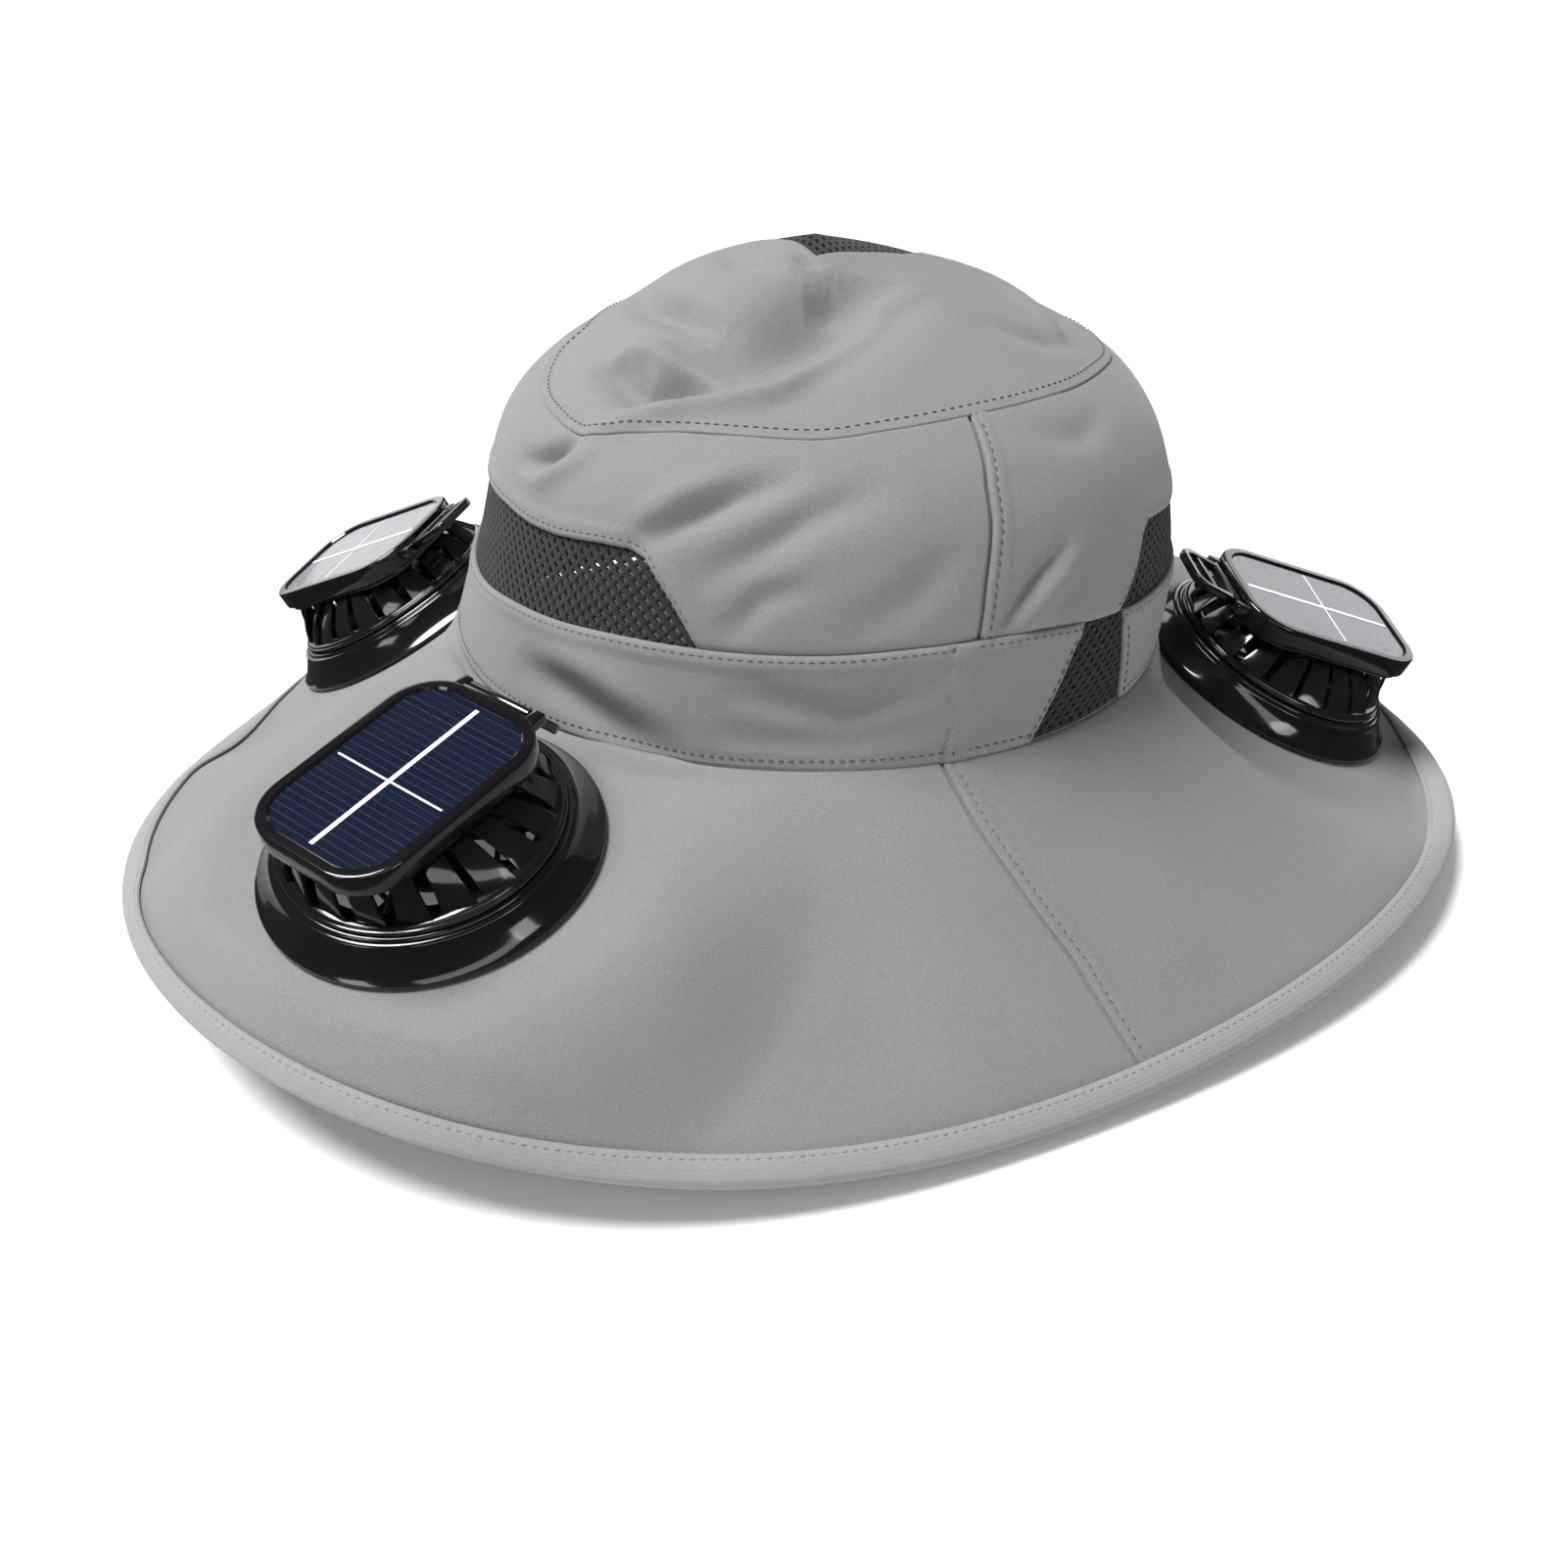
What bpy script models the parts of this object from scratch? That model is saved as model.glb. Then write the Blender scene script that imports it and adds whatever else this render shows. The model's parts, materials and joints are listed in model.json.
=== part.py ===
"""Sun hat with mesh vents and three clip-on solar fans set in its wide brim.

The hat stands on the edge of its brim at z = 0, centred on the origin, in metres.
Azimuths are in degrees from the front (-Y) towards the right (+X).
"""
import math

import bmesh
import bpy
from mathutils import Matrix, Vector

# Cloth
CLOTH = 0.0013             # thickness of the crown and brim cloth
MESH_CLOTH = 0.0011        # thickness of the vent mesh
SEAM_GAP = 0.0003          # clearance between neighbouring pieces

# Head opening and crown
HEAD_RADIUS = 0.0918       # mean radius where the crown meets the brim
HEAD_OVAL = 0.01           # how much longer the opening is from front to back
HEAD_SQUARE = 0.01         # how square its corners are
HEAD_AZIMUTH = 25.0        # the long way of the opening
CROWN_HEIGHT = 0.0931      # crown seam to the top of the crown

# Brim
BRIM_REACH = 0.0792        # mean plan width of the brim outside the head opening
BRIM_DROP = 0.0536         # fall from the crown seam to the mean edge
BINDING_WIDTH = 0.0060
BINDING_CLOTH = 0.0009
BINDING_ROOM = 0.0011      # between the brim and the binding folded over it

# Fans, in each fan's own frame: z out of the brim, x towards the crown
FLANGE_RADIUS = 0.038
FLANGE_HEIGHT = 0.0076
FLANGE_REST = 0.0005       # the rim stands this far over the cloth
FLANGE_WALL = 0.0016
COLLAR_RADIUS = 0.0322     # ring on top of the flange's skirt
BORE_RADIUS = 0.0265       # air passage through the flange and the brim
CAGE_RADIUS = 0.0305
CAGE_WALL = 0.0016
SLAT_HEIGHT = 0.0080
SLAT_COUNT = 20
SLAT_WIDTH = 0.0044        # at the deck; the slats widen towards the ring
SLAT_FOOT_WIDTH = 0.0074
SLAT_DEPTH = 0.0012
DECK_INSET = 0.0010        # the deck stops this far inside the bezel's outline
COLLAR_HEIGHT = 0.0016
BEZEL_LENGTH = 0.0555      # along the fan's x
BEZEL_WIDTH = 0.0398
BEZEL_CORNER = 0.0120
BEZEL_THICKNESS = 0.0052
BEZEL_RIM = 0.0030
BEZEL_LEAN = -1.5          # degrees that the crown end stands higher; here it is a little lower
BEZEL_OFFSET = -0.0018     # the bezel sits this far out from the fan's axis
DECK_THICKNESS = 0.0012
CELL_THICKNESS = 0.0016
CELL_DEPTH = 0.0006        # how far the cell sits below the bezel's rim
MOTOR_RADIUS = 0.0085
HUB_RADIUS = 0.0090
HUB_HEIGHT = 0.0070
HUB_GAP = 0.0005           # between the motor and the turning hub
HUB_RISE = 0.0010          # the hub stands this far above the cage's ring
BLADE_COUNT = 7
BLADE_TIP_GAP = 0.0022
BLADE_THICKNESS = 0.0011
BLADE_PITCH = 34.0
GUARD_THICKNESS = 0.0018
GUARD_SPOKES = 6
GUARD_SPOKE_WIDTH = 0.0020
CLIP_WIDTH = 0.0180
CLIP_LENGTH = 0.0140
CLIP_BAR = 0.0028
CLIP_EAR = 0.0030
CLIP_HANG = -60.0          # degrees from the panel at which a clip meets its lower stop

BRIM_RADIUS = HEAD_RADIUS + BRIM_REACH
HEM_SHARE = 1.0 - 1.3 * BINDING_WIDTH / BRIM_REACH    # the brim is straight from here to its edge

# Crown sections from the seam up: height, radius and shifts are shares of
# CROWN_HEIGHT and HEAD_RADIUS, oval is a share of HEAD_OVAL.
CROWN_SECTIONS = [
    # level, height, radius, oval, right, back
    (0.00, 0.000, 1.000, 1.0, -0.009, -0.005),
    (0.14, 0.156, 0.985, 1.0, 0.025, 0.005),
    (0.26, 0.293, 0.965, 1.0, 0.044, 0.012),
    (0.40, 0.454, 0.927, 0.9, 0.050, 0.014),
    (0.52, 0.577, 0.873, 0.5, 0.051, 0.015),
    (0.62, 0.675, 0.778, 0.0, 0.056, 0.017),
    (0.74, 0.776, 0.600, -0.4, 0.047, 0.031),
    (0.87, 0.897, 0.347, -0.4, 0.013, 0.063),
    (1.00, 1.000, 0.000, 0.0, 0.013, 0.063),
]

# The band's top edge and the tip's seam: a level and the reach and crest of its wave
BAND_EDGE = {"level": 0.208, "wave": 0.049, "crest": 12.0}
TIP_EDGE = {"level": 0.645, "wave": 0.035, "crest": 40.0}

# Long waves of the brim's edge: reach is a share of BRIM_RADIUS, lift of BRIM_DROP.
EDGE_WAVES = [
    # cycles, reach, reach crest, lift, lift crest
    (1, 0.0455, -138.0, 0.1139, -25.0),
    (2, 0.0410, -50.0, 0.0763, -58.0),
    (3, 0.0440, -35.0, 0.0899, -49.0),
]

# Folds pressed into the crown: each runs from one point of it to another.
# Width and depth are shares of HEAD_RADIUS; a positive depth is a hollow.
CROWN_FOLDS = [
    # azimuth, level, azimuth, level, width, depth
    (-46.0, 0.740, 0.0, 0.850, 0.150, 0.100),
    (0.0, 0.850, 44.0, 0.925, 0.140, 0.110),
    (-62.0, 0.715, -28.0, 0.730, 0.060, 0.045),
    (-105.0, 0.790, -34.0, 0.830, 0.080, 0.045),
    (-45.0, 0.680, -16.0, 0.740, 0.060, -0.024),
    (-16.0, 0.722, 32.0, 0.870, 0.060, -0.035),
    (110.0, 0.880, 76.0, 0.760, 0.060, -0.018),
    (-58.0, 0.530, -49.0, 0.590, 0.060, 0.020),
    (-30.0, 0.425, -7.0, 0.587, 0.050, 0.022),
    (-18.0, 0.378, 7.0, 0.571, 0.050, 0.018),
    (24.0, 0.270, 37.0, 0.406, 0.040, 0.022),
    (-42.0, 0.080, -20.0, 0.030, 0.070, 0.028),
    (172.0, 0.40, 205.0, 0.55, 0.080, 0.025),
    (120.0, 0.45, 150.0, 0.38, 0.080, 0.020),
]

# Mesh vents. Each row of an edge gives the share of the vent's turn and the level there;
# a level of 0 stands for the edge of the piece below.
LEFT_VENT = {"from": -104.0, "to": -18.0, "below": BAND_EDGE,
             "edge": [(0.00, 0.000), (0.05, 0.330), (0.34, 0.374), (0.60, 0.388), (0.80, 0.410),
                      (0.86, 0.408), (0.91, 0.370), (1.00, 0.000)]}
RIGHT_VENT = {"from": 47.5, "to": 140.0, "below": BAND_EDGE,
              "edge": [(0.00, 0.000), (0.06, 0.309), (0.11, 0.381), (0.17, 0.370), (0.33, 0.337),
                       (0.95, 0.320), (1.00, 0.000)]}
REAR_VENT = {"from": 140.0, "to": 222.0, "below": TIP_EDGE,
             "edge": [(0.00, 0.000), (0.10, 0.860), (0.30, 0.940), (0.50, 0.960), (0.70, 0.940),
                      (0.90, 0.860), (1.00, 0.000)]}
BAND_VENT = {"top_from": 39.4, "top_to": 48.3, "low_from": 33.0, "low_to": 52.6}

# Where each fan sits. Radius is a share of BRIM_RADIUS, height of BRIM_DROP over the lowest edge.
FAN_SEATS = {
    # azimuth, radius, height, tilt, tilt azimuth
    "front": (-37.4, 0.776, 0.9000, 15.8, -21.0),
    "right": (99.5, 0.757, 0.5300, 25.5, 76.0),
    "left": (-115.0, 0.761, 0.5720, 29.8, -91.0),
}
# Degrees that each clip stands up from its panel at rest; the front one hangs down.
CLIP_RISES = {"front": CLIP_HANG + 5.0, "right": 10.0, "left": 10.0}
FLAT_MARGIN = 0.0110       # brim held flat this far past a flange
FLAT_FADE = 0.0360         # and eased back over this width

CROWN_TURN = 40            # columns round the crown
BRIM_TURN = 72
BRIM_ROWS = [0.040, 0.22, 0.46, 0.73]
ROUND_SIDES = 18
SMALL_SIDES = 12           # motor, hub and guard
CORNER_STEPS = 3
SHARP_ANGLE = 35.0


def smooth(share):
    share = min(max(share, 0.0), 1.0)
    return share * share * (3.0 - 2.0 * share)


def spline(rows, place):
    """Values of a table at a place in its first column, on a smooth curve."""
    last = len(rows) - 1
    index = 0
    while index < last - 1 and place > rows[index + 1][0]:
        index += 1
    before, start = rows[max(index - 1, 0)], rows[index]
    end, after = rows[index + 1], rows[min(index + 2, last)]
    share = (place - start[0]) / (end[0] - start[0])
    share = min(max(share, 0.0), 1.0)
    values = []
    for k in range(1, len(start)):
        width = end[0] - start[0]
        slope_in = (end[k] - before[k]) / max(end[0] - before[0], 1e-9) * width
        slope_out = (after[k] - start[k]) / max(after[0] - start[0], 1e-9) * width
        h = share
        values.append((2 * h**3 - 3 * h**2 + 1) * start[k] + (h**3 - 2 * h**2 + h) * slope_in
                      + (3 * h**2 - 2 * h**3) * end[k] + (h**3 - h**2) * slope_out)
    return values


def heading(azimuth):
    turn = math.radians(azimuth)
    return Vector((math.sin(turn), -math.cos(turn), 0.0))


def edge_waves(azimuth):
    reach, lift = 0.0, 0.0
    for cycles, reach_share, reach_crest, lift_share, lift_crest in EDGE_WAVES:
        reach += reach_share * math.cos(math.radians(cycles * (azimuth - reach_crest)))
        lift += lift_share * math.cos(math.radians(cycles * (azimuth - lift_crest)))
    return BRIM_RADIUS * (1.0 + reach), BRIM_DROP * lift


def brim_box():
    """Centre of the brim's plan box and the depth of its lowest edge."""
    points = []
    for step in range(720):
        reach, lift = edge_waves(step * 0.5)
        place = heading(step * 0.5) * reach
        points.append((place.x, place.y, lift))
    low = [min(values) for values in zip(*points)]
    high = [max(values) for values in zip(*points)]
    return Vector(((low[0] + high[0]) / 2, (low[1] + high[1]) / 2, low[2]))


FOOT = brim_box()
EDGE_REST = 0.0010         # height of the middle of the brim's leaning edge where it rests
SEAM_HEIGHT = BRIM_DROP - FOOT.z + EDGE_REST
AXIS = Vector((-FOOT.x, -FOOT.y, 0.0))


def crown_base(azimuth, level):
    """A point of the crown's outer face before its folds."""
    height, radius, oval, right, back = spline(CROWN_SECTIONS, level)
    reach = HEAD_RADIUS * radius
    reach *= (1.0 + HEAD_OVAL * oval * math.cos(math.radians(2 * (azimuth - HEAD_AZIMUTH)))
              - HEAD_SQUARE * math.cos(math.radians(4 * azimuth)))
    shift = Vector((right, back, 0.0)) * HEAD_RADIUS
    return AXIS + shift + heading(azimuth) * reach + Vector((0, 0, SEAM_HEIGHT + height * CROWN_HEIGHT))


def outward(azimuth, level):
    step = 0.01
    if level > 1.0 - step:
        return Vector((0, 0, 1))
    along = crown_base(azimuth + 1.0, level) - crown_base(azimuth - 1.0, level)
    up = crown_base(azimuth, min(level + step, 1.0)) - crown_base(azimuth, max(level - step, 0.0))
    return along.cross(up).normalized()


def fold_lines():
    lines = []
    for from_az, from_level, to_az, to_level, width, depth in CROWN_FOLDS:
        stops = 6
        line = [crown_base(from_az + (to_az - from_az) * k / stops,
                           from_level + (to_level - from_level) * k / stops) for k in range(stops + 1)]
        lines.append((line, width * HEAD_RADIUS, depth * HEAD_RADIUS))
    return lines


FOLD_LINES = fold_lines()


def line_distance(point, line):
    """Distance to a line of points, and the share along it."""
    best, share = 1.0, 0.0
    for k in range(len(line) - 1):
        leg = line[k + 1] - line[k]
        t = min(max((point - line[k]).dot(leg) / leg.length_squared, 0.0), 1.0)
        gap = (point - line[k] - leg * t).length
        if gap < best:
            best, share = gap, (k + t) / (len(line) - 1)
    return best, share


def crown_point(azimuth, level):
    """A point of the crown's outer face with its folds and hollows."""
    base = crown_base(azimuth, level)
    push = 0.0
    for line, width, depth in FOLD_LINES:
        gap, share = line_distance(base, line)
        if gap < 2.6 * width:
            push += depth * math.exp(-(gap / width) ** 2) * (0.35 + 0.65 * math.sin(math.pi * share))
    return base - outward(azimuth, level) * push


def fan_frame(name):
    """Rest frame of a fan: origin on the brim's upper face, z out of it, x to the crown."""
    azimuth, radius, height, tilt, tilt_azimuth = FAN_SEATS[name]
    centre = AXIS + heading(azimuth) * radius * BRIM_RADIUS + Vector((0, 0, height * BRIM_DROP + EDGE_REST))
    lean = math.radians(tilt)
    normal = heading(tilt_azimuth) * math.sin(lean) + Vector((0, 0, math.cos(lean)))
    inward = -heading(azimuth)
    along = (inward - normal * inward.dot(normal)).normalized()
    across = normal.cross(along)
    frame = Matrix((along, across, normal)).transposed().to_4x4()
    frame.translation = centre
    return frame


FAN_FRAMES = {name: fan_frame(name) for name in FAN_SEATS}


def brim_edge(azimuth):
    reach, lift = edge_waves(azimuth)
    return AXIS + heading(azimuth) * reach + Vector((0, 0, lift - FOOT.z + EDGE_REST + CLOTH / 2))


def brim_point(azimuth, share):
    """A point of the brim's upper face, held flat round each fan."""
    if share > HEM_SHARE:
        return brim_point(azimuth, HEM_SHARE).lerp(brim_edge(azimuth), (share - HEM_SHARE) / (1.0 - HEM_SHARE))
    point = crown_base(azimuth, 0.0).lerp(brim_edge(azimuth), share)
    ends = smooth(share / BRIM_ROWS[0])
    for frame in FAN_FRAMES.values():
        seat, normal = frame.translation, frame.col[2].xyz
        away = (point - seat) - normal * (point - seat).dot(normal)
        hold = 1.0 - smooth((away.length - FLANGE_RADIUS - FLAT_MARGIN) / FLAT_FADE)
        if hold > 0.0:
            flat = seat.z - ((point.x - seat.x) * normal.x + (point.y - seat.y) * normal.y) / normal.z
            point.z += (flat - point.z) * hold * ends
    return point


def clear_scene():
    for item in list(bpy.data.objects):
        bpy.data.objects.remove(item, do_unlink=True)


def collection(name):
    group = bpy.data.collections.new(name)
    bpy.context.scene.collection.children.link(group)
    return group


def material(name, colour, roughness, metallic=0.0):
    finish = bpy.data.materials.new(name)
    finish.use_nodes = True
    shader = finish.node_tree.nodes["Principled BSDF"]
    shader.inputs["Base Color"].default_value = (*colour, 1.0)
    shader.inputs["Roughness"].default_value = roughness
    shader.inputs["Metallic"].default_value = metallic
    return finish


def add_object(name, mesh, group, finish=None, smooth_angle=None):
    item = bpy.data.objects.new(name, mesh)
    group.objects.link(item)
    if finish:
        mesh.materials.append(finish)
    if smooth_angle is not None:
        mesh.shade_smooth()
        mesh.set_sharp_from_angle(angle=math.radians(smooth_angle))
    return item


def bm_mesh(bm, name):
    mesh = bpy.data.meshes.new(name)
    bm.to_mesh(mesh)
    bm.free()
    return mesh


def sheet(name, rows, closed, peak, thickness, group, finish):
    """Cloth lofted through rows of points that run upwards, thickened inwards."""
    bm = bmesh.new()
    grid = [[bm.verts.new(point) for point in row] for row in rows]
    for lower, upper in zip(grid, grid[1:]):
        count = len(lower)
        for k in range(count if closed else count - 1):
            bm.faces.new((lower[k], lower[(k + 1) % count], upper[(k + 1) % count], upper[k]))
    if peak is not None:
        top = bm.verts.new(peak)
        last = grid[-1]
        for k in range(len(last)):
            bm.faces.new((last[k], last[(k + 1) % len(last)], top))
    item = add_object(name, bm_mesh(bm, name), group, finish, 40.0)
    wall = item.modifiers.new("Cloth", "SOLIDIFY")
    wall.thickness = thickness
    wall.offset = -1.0
    wall.use_even_offset = True
    return item


def edge_level(edge, azimuth):
    return edge["level"] + edge["wave"] * math.cos(math.radians(azimuth - edge["crest"]))


def vent_level(vent, azimuth):
    """Level of a vent's upper edge, or that of the piece below outside the vent."""
    below = edge_level(vent["below"], azimuth)
    share = ((azimuth - vent["from"]) % 360.0) / (vent["to"] - vent["from"])
    for (start, low), (end, high) in zip(vent["edge"], vent["edge"][1:]):
        if start <= share <= end:
            low, high = low or below, high or below
            return low + (high - low) * (share - start) / (end - start)
    return below


def columns(count, vents):
    """Evenly spaced azimuths, with the corners of the vents among them."""
    pitch = 360.0 / count
    turns = [-180.0 + pitch * k for k in range(count)]
    for vent in vents:
        for share, _ in vent["edge"]:
            corner = (vent["from"] + share * (vent["to"] - vent["from"]) + 180.0) % 360.0 - 180.0
            turns = [turn for turn in turns if abs(turn - corner) > 0.35 * pitch] + [corner]
    return sorted(turns)


def build_crown(group, cloth, mesh_finish):
    seam = SEAM_GAP / CROWN_HEIGHT
    side_vents = [LEFT_VENT, RIGHT_VENT]
    turns = columns(CROWN_TURN, side_vents + [REAR_VENT])
    rows = 5
    wall = []
    for row in range(rows + 1):
        points = []
        for turn in turns:
            low = max(vent_level(vent, turn) for vent in side_vents) + seam
            high = edge_level(TIP_EDGE, turn) - seam
            points.append(crown_point(turn, low + (high - low) * row / rows))
        wall.append(points)
    sheet("crown_wall", wall, True, None, CLOTH, group, cloth)

    rows = 6
    tip = []
    for row in range(rows):
        points = []
        for turn in turns:
            low = vent_level(REAR_VENT, turn) + seam
            points.append(crown_point(turn, low + (1.0 - low) * row / rows))
        tip.append(points)
    sheet("crown_tip", tip, True, crown_point(0.0, 1.0), CLOTH, group, cloth)

    for name, vent in (("mesh_vent_left", LEFT_VENT), ("mesh_vent_right", RIGHT_VENT),
                       ("mesh_vent_rear", REAR_VENT)):
        build_vent(name, vent, turns, group, mesh_finish)


def build_vent(name, vent, turns, group, finish):
    """A vent panel lofted from the piece below it up to its curved edge, in the crown's columns."""
    seam = SEAM_GAP / CROWN_HEIGHT
    width = vent["to"] - vent["from"]
    inset, legs = 0.030, 3
    shares = sorted(((turn - vent["from"]) % 360.0) / width for turn in turns)
    shares = [inset] + [share for share in shares if inset + 0.01 < share < 1 - inset - 0.01] + [1 - inset]
    rows = []
    for row in range(legs + 1):
        points = []
        for share in shares:
            turn = vent["from"] + width * share
            low, high = edge_level(vent["below"], turn) + seam, vent_level(vent, turn) - seam
            points.append(crown_point(turn, low + (high - low) * row / legs))
        rows.append(points)
    sheet(name, rows, False, None, MESH_CLOTH, group, finish)


def build_band(group, cloth, mesh_finish):
    """The hat band, and the slanted mesh vent let into it."""
    seam = SEAM_GAP / CROWN_HEIGHT
    split = math.degrees(SEAM_GAP / HEAD_RADIUS)
    band, vent = [], []
    rows = 3
    columns_across = 6
    for row in range(rows + 1):
        share = row / rows
        left = BAND_VENT["low_from"] + (BAND_VENT["top_from"] - BAND_VENT["low_from"]) * share
        right = BAND_VENT["low_to"] + (BAND_VENT["top_to"] - BAND_VENT["low_to"]) * share
        around = 360.0 - (right - left) - 2 * split
        count = CROWN_TURN - columns_across
        band_turns = [right + split + around * k / count for k in range(count + 1)]
        vent_turns = [left + (right - left) * k / columns_across for k in range(columns_across + 1)]
        for turns, points in ((band_turns, band), (vent_turns, vent)):
            points.append([crown_point(turn, seam + (edge_level(BAND_EDGE, turn) - 2 * seam) * share)
                           for turn in turns])
    sheet("hat_band", band, False, None, CLOTH, group, cloth)
    sheet("mesh_vent_band", vent, False, None, MESH_CLOTH, group, mesh_finish)


def build_brim(group, cutters, cloth, binding):
    turns = [-180.0 + 360.0 * k / BRIM_TURN for k in range(BRIM_TURN)]
    inner, outer = SEAM_GAP / BRIM_REACH, 1.0 - (BINDING_ROOM + BINDING_CLOTH) / BRIM_REACH
    rows = [[brim_point(turn, share) for turn in turns]
            for share in reversed([inner] + BRIM_ROWS + [HEM_SHARE, outer])]
    brim = sheet("brim", rows, True, None, CLOTH, group, cloth)
    radius, reach = BORE_RADIUS + FLANGE_WALL + 2 * SEAM_GAP, FLANGE_HEIGHT
    for name, frame in FAN_FRAMES.items():
        hole = turned(f"cut_hole_{name}", [(radius, reach), (radius, -reach)], cutters, None, True)
        hole.matrix_world = frame
        hide_cutter(hole)
        cut = brim.modifiers.new("Fan hole", "BOOLEAN")
        cut.operation = "DIFFERENCE"
        cut.object = hole

    wrap = BINDING_CLOTH
    inner = BINDING_WIDTH
    room = BINDING_ROOM
    half = CLOTH / 2
    section = [(-inner, half + room), (-wrap, half + room), (-wrap, -half - room), (-inner, -half - room),
               (-inner, -half - room - wrap), (0.0, -half - room), (0.0, half + room),
               (-inner, half + room + wrap)]
    bm = bmesh.new()
    rings = []
    for turn in turns:
        edge, inside = brim_edge(turn), brim_point(turn, HEM_SHARE)
        out = (edge - inside).normalized()
        beside = brim_edge(turn + 2.0) - brim_edge(turn - 2.0)
        up = out.cross(beside).normalized()
        middle = edge - up * half
        rings.append([bm.verts.new(middle + out * x + up * y) for x, y in section])
    for k in range(len(rings)):
        here, there = rings[k], rings[(k + 1) % len(rings)]
        for j in range(len(section)):
            bm.faces.new((here[j], there[j], there[(j + 1) % len(section)], here[(j + 1) % len(section)]))
    bmesh.ops.recalc_face_normals(bm, faces=bm.faces)
    add_object("brim_binding", bm_mesh(bm, "brim_binding"), group, binding, 50.0)


def hide_cutter(item):
    item.hide_render = True
    item.display_type = "WIRE"


def evaluated_mesh(item):
    """The mesh that an object's modifiers or curve settings make."""
    graph = bpy.context.evaluated_depsgraph_get()
    return bpy.data.meshes.new_from_object(item.evaluated_get(graph))


def turned(name, profile, group, finish, solid=False, sides=ROUND_SIDES):
    """A profile of (radius, height) turned about z. It runs down its outer side;
    a solid one is closed to the axis at both ends, any other back to its start."""
    points = [(radius, 0.0, height) for radius, height in profile]
    if solid:
        points = [(0.0, 0.0, points[0][2])] + points + [(0.0, 0.0, points[-1][2])]
    edges = [(k, k + 1) for k in range(len(points) - 1)]
    if not solid:
        edges.append((len(points) - 1, 0))
    outline = bpy.data.meshes.new(name)
    outline.from_pydata(points, edges, [])
    item = add_object(name, outline, group)
    turn = item.modifiers.new("Turn", "SCREW")
    turn.steps = sides
    turn.render_steps = sides
    turn.use_merge_vertices = True
    turn.merge_threshold = 0.00001
    mesh = evaluated_mesh(item)
    item.modifiers.clear()
    item.data = mesh
    if finish:
        mesh.materials.append(finish)
    mesh.shade_smooth()
    mesh.set_sharp_from_angle(angle=math.radians(SHARP_ANGLE))
    return item


def rounded_outline(length, width, corner, corner_steps=CORNER_STEPS):
    """Points of a rectangle with round corners, about the origin."""
    points = []
    for index, (sx, sy) in enumerate(((1, 1), (-1, 1), (-1, -1), (1, -1))):
        for step in range(corner_steps + 1):
            turn = math.radians(90.0 * (index + step / corner_steps))
            points.append((sx * (length / 2 - corner) + corner * math.cos(turn),
                           sy * (width / 2 - corner) + corner * math.sin(turn)))
    return points


def plate(name, outline, low, high, group, finish):
    """A flat outline standing from one height to another."""
    curve = bpy.data.curves.new(name, "CURVE")
    curve.dimensions = "2D"
    curve.fill_mode = "BOTH"
    curve.extrude = (high - low) / 2
    line = curve.splines.new("POLY")
    line.points.add(len(outline) - 1)
    for point, (x, y) in zip(line.points, outline):
        point.co = (x, y, 0.0, 1.0)
    line.use_cyclic_u = True
    guide = add_object(name, curve, group)
    bm = bmesh.new()
    bm.from_mesh(evaluated_mesh(guide))
    bpy.data.objects.remove(guide, do_unlink=True)
    bmesh.ops.remove_doubles(bm, verts=bm.verts, dist=0.00001)
    bmesh.ops.translate(bm, vec=(0.0, 0.0, (low + high) / 2), verts=bm.verts)
    bmesh.ops.recalc_face_normals(bm, faces=bm.faces)
    return add_object(name, bm_mesh(bm, name), group, finish, SHARP_ANGLE)


def box(bm, low, high):
    made = bmesh.ops.create_cube(bm, size=1.0)["verts"]
    size = [b - a for a, b in zip(low, high)]
    middle = [(a + b) / 2 for a, b in zip(low, high)]
    bmesh.ops.scale(bm, vec=size, verts=made)
    bmesh.ops.translate(bm, vec=middle, verts=made)
    return made


def join_by_boolean(target, others, cutters, operation="UNION"):
    for other in others:
        for old in list(other.users_collection):
            old.objects.unlink(other)
        cutters.objects.link(other)
        hide_cutter(other)
        joint = target.modifiers.new(other.name, "BOOLEAN")
        joint.operation = operation
        joint.object = other


CAGE_FOOT = FLANGE_HEIGHT + COLLAR_HEIGHT
SLAT_FOOT = CAGE_FOOT + CAGE_WALL
DECK_HEIGHT = SLAT_FOOT + SLAT_HEIGHT
BEZEL_FOOT = DECK_HEIGHT + DECK_THICKNESS + SEAM_GAP
HUB_TOP = SLAT_FOOT + HUB_RISE
LEAN = math.radians(BEZEL_LEAN)


def bezel_frame(height):
    """Frame of the leaning bezel and deck at a height over the brim."""
    return Matrix.Translation((BEZEL_OFFSET, 0.0, height)) @ Matrix.Rotation(-LEAN, 4, "Y")


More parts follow.
